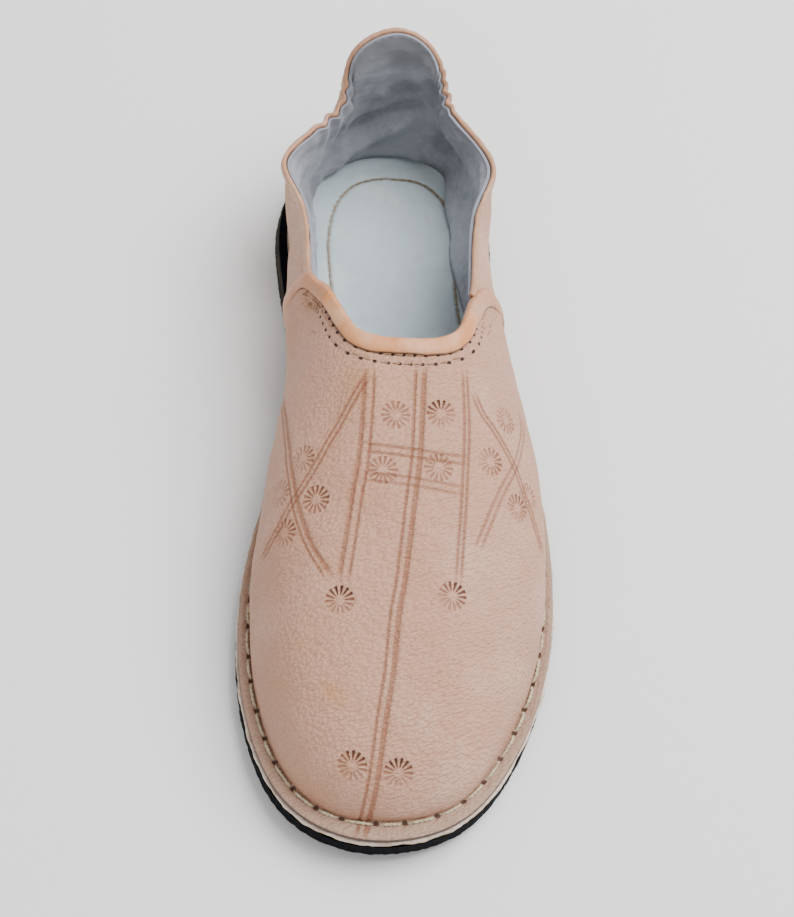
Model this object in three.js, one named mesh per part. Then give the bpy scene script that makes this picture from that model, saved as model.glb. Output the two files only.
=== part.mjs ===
// Leather babouche slipper for the left foot, stitched down on a rubber sole.
// Millimetres, +Z up, toe towards -Y, heel towards +Y, inner side of the foot towards -X.
import * as THREE from 'three';

// Driving sizes of the whole slipper
const upperLength = 282.3; // heel to toe, over the turned-out edge
const ballWidth = 108; // across the turned-out edge at the ball
const collarHeight = 53; // floor to the collar beside the ankle
const throatHeight = 68.1; // floor to the throat edge on the instep
const tabHeight = 79.5; // floor to the top of the heel tab
const toeSpring = 5; // lift of the toe tip off the floor
const springReach = 67; // length of the sole that curves up at the toe

// Sole pieces
const outsoleThickness = 7;
const midsoleThickness = 2;
const insoleThickness = 3.2;
const outsoleMargin = 0.9; // outsole past the upper's edge at the forepart
const heelMargin = 1.1; // outsole past the upper's edge at the heel, at its top
const heelFlare = 1.5; // how much the heel's side spreads towards the floor
const treadBevel = 0.8; // worn bevel around the tread
const midsoleMargin = 0.6; // midsole past the upper's edge at the forepart
const midsoleHeelInset = 0.5; // midsole inside the upper's edge at the heel

// Upper
const edgeThickness = 1.6; // leather of the turned-out edge
const edgeWidthSide = 4.2; // turned-out edge, from the feather line outwards
const edgeWidthToe = 6.9;
const wall = 2.2; // leather and lining
const wingStep = 1.1; // vamp leather lying over the quarter
const wingUnderlap = 0.7; // sections that the quarter runs on under the vamp
const skivedWall = 1.2; // thinned wall inside the bindings

// Bindings, folded over the rims
const bindingLeather = 0.9;
const throatBindingDepth = 5.4; // outer leg, down from the throat edge
const collarBindingDepth = 3.4; // outer leg, down from the collar
const innerLegDepth = 2.6;
const clearance = 0.3; // between pieces that meet

// Mesh density
const columnsPerSection = 4;
const skivingRun = 3; // below a binding, where the wall comes back to its full thickness

// Heights of the stack over the floor, before the toe spring
const midsoleSeat = outsoleThickness + clearance;
const upperSeat = midsoleSeat + midsoleThickness + clearance;
const edgeTop = upperSeat + edgeThickness;
const rimDrop = bindingLeather + clearance;

// Sections around the slipper, from the heel along the inner side to the toe and back.
// edgeAlong, topAlong: share of upperLength from the heel.
// edgeAcross, topAcross: share of ballWidth from the centre line, outer side positive.
// throat, tab: share of the rise from the collar to the throat edge and to the heel tab.
const sectionColumns = ['name', 'edgeAlong', 'edgeAcross', 'topAlong', 'topAcross', 'throat', 'tab'];
const sectionRows = [
  ['heel', 0, 0.007, 0.005, 0.012, 0, 1],
  ['tab inner', 0.0085, -0.12, 0.014, -0.087, 0, 0.88],
  ['heel corner', 0.033, -0.228, 0.03, -0.144, 0, 0.55],
  ['neck', 0.0726, -0.304, 0.052, -0.172, 0, 0.1],
  ['collar dip', 0.117, -0.341, 0.081, -0.255, 0, -0.075],
  ['ankle', 0.16, -0.35, 0.1435, -0.348, 0, -0.01],
  ['shank', 0.209, -0.342, 0.195, -0.323, 0.04, 0],
  ['waist', 0.262, -0.331, 0.2586, -0.291, 0.16, 0],
  ['wing', 0.319, -0.33, 0.326, -0.282, 0.42, 0],
  ['instep', 0.425, -0.357, 0.352, -0.235, 0.65, 0],
  ['joint', 0.542, -0.4185, 0.381, -0.191, 0.79, 0],
  ['ball', 0.6625, -0.484, 0.411, -0.152, 0.9, 0],
  ['big toe side', 0.8006, -0.49, 0.425, -0.113, 0.96, 0],
  ['big toe corner', 0.9245, -0.398, 0.4315, -0.072, 0.99, 0],
  ['big toe tip', 0.984, -0.241, 0.4343, -0.03, 1, 0],
  ['toe', 1, -0.078, 0.4353, 0.013, 1, 0],
  ['toe tip outer', 0.99, 0.093, 0.4357, 0.056, 1, 0],
  ['toe corner outer', 0.9415, 0.2685, 0.4346, 0.098, 0.99, 0],
  ['little toe side', 0.827, 0.4305, 0.43, 0.141, 0.955, 0],
  ['ball outer', 0.687, 0.5, 0.4194, 0.178, 0.885, 0],
  ['joint outer', 0.5455, 0.486, 0.398, 0.209, 0.78, 0],
  ['instep outer', 0.425, 0.437, 0.3666, 0.233, 0.57, 0],
  ['wing outer', 0.319, 0.3825, 0.331, 0.254, 0.3, 0],
  ['waist outer', 0.262, 0.359, 0.273, 0.27, 0.09, 0],
  ['shank outer', 0.209, 0.3565, 0.2055, 0.302, 0, -0.005],
  ['ankle outer', 0.16, 0.365, 0.147, 0.339, 0, -0.04],
  ['collar dip outer', 0.115, 0.357, 0.0815, 0.276, 0, -0.08],
  ['neck outer', 0.0716, 0.32, 0.0496, 0.209, 0, 0.075],
  ['heel corner outer', 0.0326, 0.244, 0.029, 0.169, 0, 0.49],
  ['tab outer', 0.0085, 0.137, 0.0113, 0.105, 0, 0.86],
];
const sections = sectionRows.map((row) => {
  const entries = sectionColumns.map((column, index) => [column, row[index]]);
  return Object.fromEntries(entries);
});
const sectionCount = sections.length;
const sectionAt = (name) => sections.findIndex((section) => section.name === name);
const wingInner = sectionAt('wing');
const wingOuter = sectionAt('wing outer');
const toeSection = sectionAt('toe');
const wingStepRun = 0.012; // sections over which the wing's edge steps down to the quarter

// How the wall rises from the feather line to the top, as the two inner handles of a curve.
// rise, drop: share of the wall's height that the lower and the upper handle reach.
// swell, spread: share of ballWidth by which each handle leans outwards.
// back: share of the way over the foot that the upper handle lies before the top.
const profiles = [
  { turn: 0, rise: 0.3, swell: 0.032, back: 0, drop: 0.34, spread: -0.032 },
  { turn: 3, rise: 0.3, swell: 0.029, back: 0, drop: 0.4, spread: 0.009 },
  { turn: 5, rise: 0.32, swell: 0.038, back: 0, drop: 0.36, spread: -0.009 },
  { turn: 7, rise: 0.36, swell: 0.07, back: 0, drop: 0.34, spread: 0.065 },
  { turn: 8, rise: 0.36, swell: 0.08, back: 0, drop: 0.3, spread: 0.097 },
  { turn: 9.6, rise: 0.42, swell: 0.094, back: 0.58, drop: 0.3, spread: 0 },
  { turn: 11, rise: 0.44, swell: 0.04, back: 0.66, drop: 0.36, spread: 0 },
  { turn: 12.5, rise: 0.45, swell: 0.009, back: 0.69, drop: 0.38, spread: 0 },
  { turn: 15, rise: 0.44, swell: 0.009, back: 0.7, drop: 0.38, spread: 0 },
  { turn: 17.5, rise: 0.45, swell: 0.009, back: 0.69, drop: 0.38, spread: 0 },
  { turn: 19, rise: 0.44, swell: 0.036, back: 0.66, drop: 0.36, spread: 0 },
  { turn: 20.4, rise: 0.42, swell: 0.062, back: 0.58, drop: 0.3, spread: 0 },
  { turn: 22, rise: 0.36, swell: 0.062, back: 0, drop: 0.3, spread: 0.093 },
  { turn: 23, rise: 0.36, swell: 0.07, back: 0, drop: 0.34, spread: 0.065 },
  { turn: 25, rise: 0.32, swell: 0.034, back: 0, drop: 0.36, spread: -0.009 },
  { turn: 27, rise: 0.3, swell: 0.029, back: 0, drop: 0.4, spread: 0.009 },
];

// Shares along the way round: how toe-like the turned-out edge is, how heel-like the sole is
const toeShares = [
  { turn: 11, share: 0 },
  { turn: 13.3, share: 0.52 },
  { turn: 15, share: 1 },
  { turn: 16.7, share: 0.52 },
  { turn: 19, share: 0 },
];
const heelShares = [
  { turn: 0, share: 1 },
  { turn: 6, share: 1 },
  { turn: 9, share: 0 },
  { turn: 21, share: 0 },
  { turn: 24, share: 1 },
];

// Smooth closed curve through evenly spaced values, as a function of the section number
function closedSpline(values) {
  const count = values.length;
  const relaxationPasses = 60;
  const bends = new Array(count).fill(0);
  for (let pass = 0; pass < relaxationPasses; pass += 1) {
    for (let index = 0; index < count; index += 1) {
      const before = (index + count - 1) % count;
      const after = (index + 1) % count;
      const curvature = values[after] - 2 * values[index] + values[before];
      bends[index] = (6 * curvature - bends[before] - bends[after]) / 4;
    }
  }
  return (turn) => {
    const wrapped = ((turn % count) + count) % count;
    const first = Math.floor(wrapped) % count;
    const second = (first + 1) % count;
    const b = wrapped - Math.floor(wrapped);
    const a = 1 - b;
    const straight = a * values[first] + b * values[second];
    return straight + ((a ** 3 - a) * bends[first] + (b ** 3 - b) * bends[second]) / 6;
  };
}

// Closed curve through a column of a table of turns, with no overshoot between its rows
function closedBlend(rows, column) {
  const count = rows.length;
  const gapAfter = (index) => {
    const next = rows[(index + 1) % count].turn + (index + 1 === count ? sectionCount : 0);
    return next - rows[index].turn;
  };
  const slopeAfter = (index) => (rows[(index + 1) % count][column] - rows[index][column]) / gapAfter(index);
  const slopes = rows.map((row, index) => {
    const before = slopeAfter((index + count - 1) % count);
    const after = slopeAfter(index);
    return before * after <= 0 ? 0 : (2 * before * after) / (before + after);
  });
  return (turn) => {
    const start = rows[0].turn;
    const wrapped = ((((turn - start) % sectionCount) + sectionCount) % sectionCount) + start;
    let first = count - 1;
    while (first > 0 && rows[first].turn > wrapped) {
      first -= 1;
    }
    const second = (first + 1) % count;
    const gap = gapAfter(first);
    const x = (wrapped - rows[first].turn) / gap;
    const y = 1 - x;
    const ends = (1 + 2 * x) * y * y * rows[first][column] + x * x * (3 - 2 * x) * rows[second][column];
    return ends + gap * x * y * (y * slopes[first] - x * slopes[second]);
  };
}

const columnSpline = (column) => closedSpline(sections.map((section) => section[column]));
const edgeAlong = columnSpline('edgeAlong');
const edgeAcross = columnSpline('edgeAcross');
const topAlong = columnSpline('topAlong');
const topAcross = columnSpline('topAcross');
const throatShare = columnSpline('throat');
const tabShare = columnSpline('tab');
const profile = {};
for (const column of ['rise', 'swell', 'back', 'drop', 'spread']) {
  profile[column] = closedBlend(profiles, column);
}
const toeShare = closedBlend(toeShares, 'share');
const heelShare = closedBlend(heelShares, 'share');

const alongToY = (along) => (0.5 - along) * upperLength;

// Height that the toe spring adds at a place along the foot
function springLift(y) {
  const reach = Math.max(0, springReach - upperLength / 2 - y) / springReach;
  return toeSpring * reach * reach;
}

// Outline of the turned-out edge in plan, and its outward normal
function edgePoint(turn) {
  return new THREE.Vector3(edgeAcross(turn) * ballWidth, alongToY(edgeAlong(turn)), 0);
}

function edgeNormal(turn) {
  const step = 0.001;
  const tangent = edgePoint(turn + step).sub(edgePoint(turn - step));
  return new THREE.Vector3(tangent.y, -tangent.x, 0).normalize();
}

// Point a distance outside the edge, at a height over the spring of the sole
function rimPoint(turn, outwards, height) {
  const point = edgePoint(turn).addScaledVector(edgeNormal(turn), outwards);
  point.z = height + springLift(point.y);
  return point;
}

const edgeWidth = (turn) => edgeWidthSide + (edgeWidthToe - edgeWidthSide) * toeShare(turn);

// Handles of the curve that the upper's outside follows from the feather line to the top
function wallHandles(turn) {
  const foot = rimPoint(turn, -edgeWidth(turn), edgeTop);
  const throatRise = throatShare(turn) * (throatHeight - collarHeight);
  const tabRise = tabShare(turn) * (tabHeight - collarHeight);
  const topHeight = collarHeight + throatRise + tabRise;
  const top = new THREE.Vector3(topAcross(turn) * ballWidth, alongToY(topAlong(turn)), topHeight);
  const normal = edgeNormal(turn);
  const rise = top.z - foot.z;
  const lower = foot.clone().addScaledVector(normal, profile.swell(turn) * ballWidth);
  lower.z += profile.rise(turn) * rise;
  const upper = top.clone().addScaledVector(normal, profile.spread(turn) * ballWidth);
  upper.x -= (top.x - foot.x) * profile.back(turn);
  upper.y -= (top.y - foot.y) * profile.back(turn);
  upper.z -= profile.drop(turn) * rise;
  return { foot, lower, upper, top };
}

function wallPoint(turn, share) {
  const { foot, lower, upper, top } = wallHandles(turn);
  const rest = 1 - share;
  return new THREE.Vector3()
    .addScaledVector(foot, rest ** 3)
    .addScaledVector(lower, 3 * rest * rest * share)
    .addScaledVector(upper, 3 * rest * share * share)
    .addScaledVector(top, share ** 3);
}

// Point a distance outside the upper's outside surface (negative: inside it)
function skinPoint(turn, share, outwards) {
  const step = 0.002;
  const around = wallPoint(turn + step, share).sub(wallPoint(turn - step, share));
  const upwards = wallPoint(turn, share + step).sub(wallPoint(turn, share - step));
  const normal = around.cross(upwards).normalize();
  return wallPoint(turn, share).addScaledVector(normal, outwards);
}

// Share of the way up at which the wall lies a depth below the top
function shareBelowTop(turn, depth) {
  const { upper, top } = wallHandles(turn);
  return 1 - depth / (3 * top.distanceTo(upper));
}

const nearTop = (turn, depth, outwards) => skinPoint(turn, shareBelowTop(turn, depth), outwards);

// Where the quarter lies: fully behind the wings, and fading out under the vamp
const isVamp = (turn) => turn > wingInner && turn < wingOuter;

function quarterShare(turn) {
  if (!isVamp(turn)) {
    return 1;
  }
  const past = Math.min(turn - wingInner, wingOuter - turn) / wingUnderlap;
  return past < 1 ? (1 + Math.cos(Math.PI * past)) / 2 : 0;
}

const outsideOffset = (turn) => (isVamp(turn) ? 0 : -wingStep);
const insideOffset = (turn) => -wall - wingStep * quarterShare(turn);

// Foot of the wall's inside, and the lowest point above it on the inside
const lowestInsideShare = 0.1;
const insideFoot = (turn) => rimPoint(turn, insideOffset(turn) - edgeWidth(turn), upperSeat);
const insideAbove = (turn) => skinPoint(turn, lowestInsideShare, insideOffset(turn));

// How far the inside of the wall leans over the insole's edge, at the insole's top
function leanOverInsole(turn) {
  const foot = insideFoot(turn);
  const above = insideAbove(turn);
  const share = insoleThickness / (above.z - foot.z);
  const outwards = above.sub(foot).dot(edgeNormal(turn)) * share;
  return Math.max(0, -outwards);
}

// Section numbers from one turn to another, evenly spread, both ends in
function turnsBetween(from, to) {
  const steps = Math.round((to - from) * columnsPerSection);
  return Array.from({ length: steps + 1 }, (_, index) => from + ((to - from) * index) / steps);
}

// Closed body from rings of points: each ring is one closed section of the body
function loftRings(rings, isLoop) {
  const perRing = rings[0].length;
  const positions = rings.flat().flatMap((point) => [point.x, point.y, point.z]);
  const indices = [];
  const spans = isLoop ? rings.length : rings.length - 1;
  for (let ring = 0; ring < spans; ring += 1) {
    const here = ring * perRing;
    const there = ((ring + 1) % rings.length) * perRing;
    for (let side = 0; side < perRing; side += 1) {
      const next = (side + 1) % perRing;
      indices.push(here + side, there + side, there + next);
      indices.push(here + side, there + next, here + next);
    }
  }
  return { positions, indices };
}

function toGeometry({ positions, indices }) {
  const geometry = new THREE.BufferGeometry();
  geometry.setAttribute('position', new THREE.Float32BufferAttribute(positions, 3));
  geometry.setIndex(indices);
  geometry.computeVertexNormals();
  return geometry;
}

// The upper in one turn: turned-out edge, outside, rim, inside and the underside of the edge
function upperSection(turn) {
  const outside = outsideOffset(turn);
  const inside = insideOffset(turn);
  const bindingDepth = isVamp(turn) ? throatBindingDepth : collarBindingDepth;
  const outsideShares = [0, 0.06, 0.13, 0.22, 0.32, 0.44, 0.58, 0.74, 0.9];
  const insideShares = [0.9, 0.74, 0.58, 0.44, 0.32, 0.2, lowestInsideShare];
  const bindingShare = shareBelowTop(turn, bindingDepth + skivingRun);
  const points = [rimPoint(turn, 0, edgeTop)];
  for (const share of outsideShares) {
    points.push(skinPoint(turn, share * bindingShare, outside));
  }
  points.push(nearTop(turn, bindingDepth, outside));
  points.push(nearTop(turn, rimDrop, outside));
  points.push(nearTop(turn, rimDrop, outside - skivedWall));
  points.push(nearTop(turn, innerLegDepth + clearance, outside - skivedWall));
  points.push(skinPoint(turn, bindingShare, inside));
  for (const share of insideShares) {
    points.push(skinPoint(turn, share * bindingShare, inside));
  }
  points.push(insideFoot(turn));
  points.push(rimPoint(turn, -edgeWidth(turn), upperSeat));
  points.push(rimPoint(turn, 0, upperSeat));
  return points;
}

function upperGeometry() {
  const quarterBack = turnsBetween(wingOuter, sectionCount + wingInner);
  const vamp = turnsBetween(wingInner + wingStepRun, wingOuter - wingStepRun);
  const rings = [...quarterBack, ...vamp].map((turn) => {
    const wrapped = turn > sectionCount ? turn - sectionCount : turn;
    return upperSection(wrapped);
  });
  return toGeometry(loftRings(rings, true));
}

// Folded strip over a rim, as columns: distance outside the wall's outside, depth below the top
function bindingOutline(outside, outerDepth) {
  const channelOut = outside + clearance;
  const skinOut = channelOut + bindingLeather;
  const channelIn = outside - skivedWall - clearance;
  const skinIn = channelIn - bindingLeather;
  const shoulder = bindingLeather * 0.6;
  return [
    [channelOut, outerDepth],
    [skinOut, outerDepth],
    [skinOut, outerDepth / 2],
    [skinOut, shoulder],
    [skinOut - shoulder, 0],
    [skinIn + shoulder, 0],
    [skinIn, shoulder],
    [skinIn, innerLegDepth],
    [channelIn, innerLegDepth],
    [channelIn, bindingLeather],
    [channelOut, bindingLeather],
    [channelOut, outerDepth / 2],
  ];
}

function bindingGeometry(fromTurn, toTurn, outside, outerDepth) {
  const outline = bindingOutline(outside, outerDepth);
  const rings = turnsBetween(fromTurn, toTurn).map((turn) =>
    outline.map(([outwards, depth]) => nearTop(turn, depth, outwards)),
  );
  const body = loftRings(rings, false);
  const flat = outline.map(([outwards, depth]) => new THREE.Vector2(outwards, depth));
  const lastRing = (rings.length - 1) * outline.length;
  for (const face of THREE.ShapeUtils.triangulateShape(flat, [])) {
    const [a, b, c] = face.sort((one, other) => one - other);
    body.indices.push(a, b, c);
    body.indices.push(lastRing + a, lastRing + c, lastRing + b);
  }
  return toGeometry(body);
}

// Flat body under the foot. Each level has a margin outside the upper's edge, by turn, and a height.
function soleGeometry(levels) {
  const acrossSteps = 2;
  const rowCount = toeSection * columnsPerSection;
  const innerTurn = (row) => row / columnsPerSection;
  const outerTurn = (row) => sectionCount - row / columnsPerSection;
  const positions = [];
  const indices = [];
  const addPoint = (point) => positions.push(point.x, point.y, point.z) / 3 - 1;
  const loops = levels.map(({ margin, height }) => {
    const turns = [];
    for (let row = 0; row <= rowCount; row += 1) {
      turns.push(innerTurn(row));
    }
    for (let row = rowCount - 1; row > 0; row -= 1) {
      turns.push(outerTurn(row));
    }
    return turns.map((turn) => addPoint(rimPoint(turn, margin(turn), height)));
  });
  const around = loops[0].length;
  for (let level = 0; level + 1 < loops.length; level += 1) {
    for (let side = 0; side < around; side += 1) {
      const next = (side + 1) % around;
      const [upper, lower] = [loops[level], loops[level + 1]];
      indices.push(upper[side], lower[side], lower[next]);
      indices.push(upper[side], lower[next], upper[next]);
    }
  }
  addCap(loops[0], levels[0].height, true);
  addCap(loops[loops.length - 1], levels[levels.length - 1].height, false);

  function addCap(loop, height, facesUp) {
    const pointOf = (index) => new THREE.Vector3().fromArray(positions, index * 3);
    const addFace = (a, b, c) => indices.push(...(facesUp ? [a, b, c] : [a, c, b]));
    const rows = [];
    for (let row = 1; row < rowCount; row += 1) {
      const inner = loop[row];
      const outer = loop[around - row];
      const line = [inner];
      for (let step = 1; step < acrossSteps; step += 1) {
        const point = pointOf(inner).lerp(pointOf(outer), step / acrossSteps);
        point.z = height + springLift(point.y);
        line.push(addPoint(point));
      }
      line.push(outer);
      rows.push(line);
    }
    for (let step = 0; step < acrossSteps; step += 1) {
      addFace(loop[0], rows[0][step], rows[0][step + 1]);
      addFace(loop[rowCount], rows[rows.length - 1][step + 1], rows[rows.length - 1][step]);
      for (let row = 0; row + 1 < rows.length; row += 1) {
        addFace(rows[row][step], rows[row + 1][step], rows[row + 1][step + 1]);
        addFace(rows[row][step], rows[row + 1][step + 1], rows[row][step + 1]);
      }
    }
  }
  return toGeometry({ positions, indices });
}

function outsoleGeometry() {
  const topMargin = (turn) => outsoleMargin + (heelMargin - outsoleMargin) * heelShare(turn);
  const flared = (share) => (turn) => topMargin(turn) + heelFlare * heelShare(turn) * share;
  const bevelShare = 1 - treadBevel / outsoleThickness;
  return soleGeometry([
    { margin: topMargin, height: outsoleThickness },
    { margin: flared(0.5), height: outsoleThickness / 2 },
    { margin: flared(bevelShare), height: treadBevel },
    { margin: (turn) => flared(bevelShare)(turn) - treadBevel, height: 0 },
  ]);
}

function midsoleGeometry() {
  const margin = (turn) => midsoleMargin - (midsoleMargin + midsoleHeelInset) * heelShare(turn);
  return soleGeometry([
    { margin, height: midsoleSeat + midsoleThickness },
    { margin, height: midsoleSeat },
  ]);
}

function insoleGeometry() {
  const margin = (turn) => insideOffset(turn) - edgeWidth(turn) - leanOverInsole(turn) - clearance;
  return soleGeometry([
    { margin, height: upperSeat + insoleThickness },
    { margin, height: upperSeat },
  ]);
}

// The two bindings stop short of each other where the wings cross the collar
function throatBindingGeometry() {
  const inset = wingStepRun * 2;
  return bindingGeometry(wingInner + inset, wingOuter - inset, 0, throatBindingDepth);
}

function collarBindingGeometry() {
  const inset = wingStepRun * 2;
  const last = sectionCount + wingInner - inset;
  return bindingGeometry(wingOuter + inset, last, -wingStep, collarBindingDepth);
}

const pieces = [
  { name: 'outsole', geometry: outsoleGeometry(), color: '#23252d', roughness: 0.85 },
  { name: 'midsole', geometry: midsoleGeometry(), color: '#dccabd', roughness: 0.8 },
  { name: 'insole', geometry: insoleGeometry(), color: '#b9c6cd', roughness: 0.85 },
  { name: 'upper', geometry: upperGeometry(), color: '#d9b9a0', roughness: 0.55 },
  { name: 'throat_binding', geometry: throatBindingGeometry(), color: '#e3b08a', roughness: 0.5 },
  { name: 'collar_binding', geometry: collarBindingGeometry(), color: '#dfae8a', roughness: 0.5 },
];

const slipper = new THREE.Group();
for (const { name, geometry, color, roughness } of pieces) {
  const material = new THREE.MeshStandardMaterial({ color, roughness, metalness: 0 });
  const mesh = new THREE.Mesh(geometry, material);
  mesh.name = name;
  slipper.add(mesh);
}

// The origin lies on the floor, in the middle of the slipper's length and width
const middle = new THREE.Box3().setFromObject(slipper).getCenter(new THREE.Vector3());
slipper.position.set(-middle.x, -middle.y, 0);

export default slipper;
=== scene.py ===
"""Looks of a leather babouche slipper: tooled vamp, bound collar, suede lining and stitched-down sole.

Lengths are millimetres in the frame's own axes until a mesh is made: +Z up, toe towards -Y,
inner side of the left foot towards -X. Pieces are closed bodies with their place in their mesh.
"""

import logging
import math
from collections.abc import Callable, Sequence
from dataclasses import dataclass
from enum import Enum

import bmesh
import bpy
import numpy as np
from mathutils import Matrix, Vector
from mathutils.bvhtree import BVHTree
from mathutils.kdtree import KDTree


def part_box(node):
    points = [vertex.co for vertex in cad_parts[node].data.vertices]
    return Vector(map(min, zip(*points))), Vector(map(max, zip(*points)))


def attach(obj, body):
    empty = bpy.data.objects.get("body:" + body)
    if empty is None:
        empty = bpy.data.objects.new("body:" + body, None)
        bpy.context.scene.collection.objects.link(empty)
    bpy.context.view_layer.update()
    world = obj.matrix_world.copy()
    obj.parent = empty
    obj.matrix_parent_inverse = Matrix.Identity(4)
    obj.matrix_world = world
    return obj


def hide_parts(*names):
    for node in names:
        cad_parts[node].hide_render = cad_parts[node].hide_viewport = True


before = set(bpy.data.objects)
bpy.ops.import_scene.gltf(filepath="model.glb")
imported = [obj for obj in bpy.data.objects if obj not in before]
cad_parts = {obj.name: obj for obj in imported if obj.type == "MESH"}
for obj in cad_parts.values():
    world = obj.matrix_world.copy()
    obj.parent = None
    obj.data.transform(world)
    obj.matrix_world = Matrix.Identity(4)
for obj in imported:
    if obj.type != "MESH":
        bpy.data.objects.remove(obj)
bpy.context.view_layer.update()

log = logging.getLogger("slipper")
METRES = 0.001
TOOL_FAMILIES = ("tooled_long", "tooled_bars", "tooled_cross")


def unit(vectors: np.ndarray) -> np.ndarray:
    """Vectors scaled to length one along the last axis."""
    return vectors / np.maximum(np.linalg.norm(vectors, axis=-1, keepdims=True), 1e-9)


def smooth_step(low: float, high: float, value: np.ndarray) -> np.ndarray:
    """0 below low, 1 above high, and a smooth rise between them; high may be the smaller."""
    share = np.clip((np.asarray(value, float) - low) / (high - low), 0, 1)
    return share * share * (3 - 2 * share)


def bell(value: np.ndarray, width: float) -> np.ndarray:
    """1 at zero, falling away smoothly over a width."""
    return np.exp(-((np.asarray(value, float) / width) ** 2))


def closed_spline(values: Sequence[float]) -> Callable[[np.ndarray], np.ndarray]:
    """Smooth closed curve through evenly spaced values, as a function of the section number.

    Args:
        values: One value for each section, in order around the slipper.

    Returns:
        A function from section numbers to values.
    """
    column = np.asarray(values, float)
    count = len(column)
    system = 4 * np.eye(count) + np.roll(np.eye(count), 1, 0) + np.roll(np.eye(count), -1, 0)
    bends = np.linalg.solve(system, 6 * (np.roll(column, -1) - 2 * column + np.roll(column, 1)))

    def curve(turn: np.ndarray) -> np.ndarray:
        wrapped = np.mod(turn, count)
        first = np.floor(wrapped).astype(int) % count
        second = (first + 1) % count
        b = wrapped - np.floor(wrapped)
        a = 1 - b
        arched = (a**3 - a) * bends[first] + (b**3 - b) * bends[second]
        return a * column[first] + b * column[second] + arched / 6

    return curve


def closed_blend(
    turns: Sequence[float], values: Sequence[float], period: float
) -> Callable[[np.ndarray], np.ndarray]:
    """Closed curve through unevenly spaced values, with no overshoot between them.

    Args:
        turns: Section numbers of the values, rising.
        values: The values there.
        period: Number of sections once around.

    Returns:
        A function from section numbers to values.
    """
    knots = np.asarray(turns, float)
    column = np.asarray(values, float)
    gaps = np.diff(np.append(knots, knots[0] + period))
    after = (np.roll(column, -1) - column) / gaps
    before = np.roll(after, 1)
    product = before * after
    total = np.where(product > 0, before + after, 1)
    slopes = np.where(product > 0, 2 * product / total, 0)

    def curve(turn: np.ndarray) -> np.ndarray:
        wrapped = np.mod(np.asarray(turn, float) - knots[0], period) + knots[0]
        first = np.clip(np.searchsorted(knots, wrapped, side="right") - 1, 0, len(knots) - 1)
        second = (first + 1) % len(knots)
        gap = gaps[first]
        x = (wrapped - knots[first]) / gap
        y = 1 - x
        ends = (1 + 2 * x) * y * y * column[first] + x * x * (3 - 2 * x) * column[second]
        return ends + gap * x * y * (y * slopes[first] - x * slopes[second])

    return curve


def lumps(points: np.ndarray, size: float, seed: int) -> np.ndarray:
    """Soft irregular swelling over a body, about -1 to 1.

    Args:
        points: Places in millimetres, with the coordinates on the last axis.
        size: Distance from one swelling to the next.
        seed: Seed of the directions and phases.
    """
    random = np.random.default_rng(seed)
    waves = 10
    directions = unit(random.normal(size=(waves, 3)))
    lengths = size * random.uniform(0.7, 1.5, waves)
    phases = random.uniform(0, 2 * math.pi, waves)
    reach = np.tensordot(points, directions.T, axes=1) * (2 * math.pi / lengths) + phases
    return np.sin(reach).sum(-1) / math.sqrt(waves)


def cumulative(points: np.ndarray) -> np.ndarray:
    """Distance run along a row of points, from the first."""
    steps = np.linalg.norm(np.diff(points, axis=0), axis=-1)
    return np.concatenate([[0], np.cumsum(steps)])


def relaxed(line: np.ndarray, passes: int) -> np.ndarray:
    """Rounds a line by averaging each place with its neighbours, the ends kept."""
    line = line.copy()
    for _ in range(passes):
        line[1:-1] = (line[:-2] + 2 * line[1:-1] + line[2:]) / 4
    return line


def search_tree(places: np.ndarray) -> KDTree:
    """Search tree of places, numbered in their order."""
    tree = KDTree(len(places))
    for index, place in enumerate(places):
        tree.insert(Vector(place), index)
    tree.balance()
    return tree


def place_in_scene(name: str, data: bpy.types.ID) -> bpy.types.Object:
    """Makes an object of some data and puts it in the scene."""
    made = bpy.data.objects.new(name, data)
    bpy.context.scene.collection.objects.link(made)
    return made


def write_vectors(mesh: bpy.types.Mesh, title: str, values: np.ndarray) -> None:
    """Stores three numbers at each point of a mesh."""
    layer = mesh.attributes.new(title, "FLOAT_VECTOR", "POINT")
    layer.data.foreach_set("vector", np.asarray(values, np.float32).ravel())


def level_at(height: float) -> Callable[[np.ndarray], np.ndarray]:
    """A level that lies at one height all round."""
    return lambda turn: np.full(turn.shape, height)


def through(points: Sequence[Sequence[float]], step: float) -> np.ndarray:
    """Smooth open curve through a few points, in even steps.

    Args:
        points: Places that the curve passes, two or three coordinates each.
        step: Distance between the points of the result.
    """
    knots = np.asarray(points, float)
    ends = np.vstack([2 * knots[0] - knots[1], knots, 2 * knots[-1] - knots[-2]])
    pieces = []
    for index in range(1, len(ends) - 2):
        a, b, c, d = ends[index - 1 : index + 3]
        t = np.linspace(0, 1, 24, endpoint=False)[:, None]
        run = 2 * b + (c - a) * t + (2 * a - 5 * b + 4 * c - d) * t**2
        pieces.append((run + (3 * b - a - 3 * c + d) * t**3) / 2)
    dense = np.vstack([*pieces, knots[-1:]])
    along = cumulative(dense)
    count = max(2, round(along[-1] / step) + 1)
    marks = np.linspace(0, along[-1], count)
    return np.stack([np.interp(marks, along, dense[:, axis]) for axis in range(dense.shape[1])], -1)


@dataclass(frozen=True)
class Section:
    """One section around the slipper, in shares of the driving sizes."""

    name: str
    edge_along: float
    edge_across: float
    top_along: float
    top_across: float
    throat: float
    tab: float


@dataclass(frozen=True)
class Profile:
    """How the wall rises at one section, as the handles of its curve."""

    turn: float
    rise: float
    swell: float
    back: float
    drop: float
    spread: float


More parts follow.
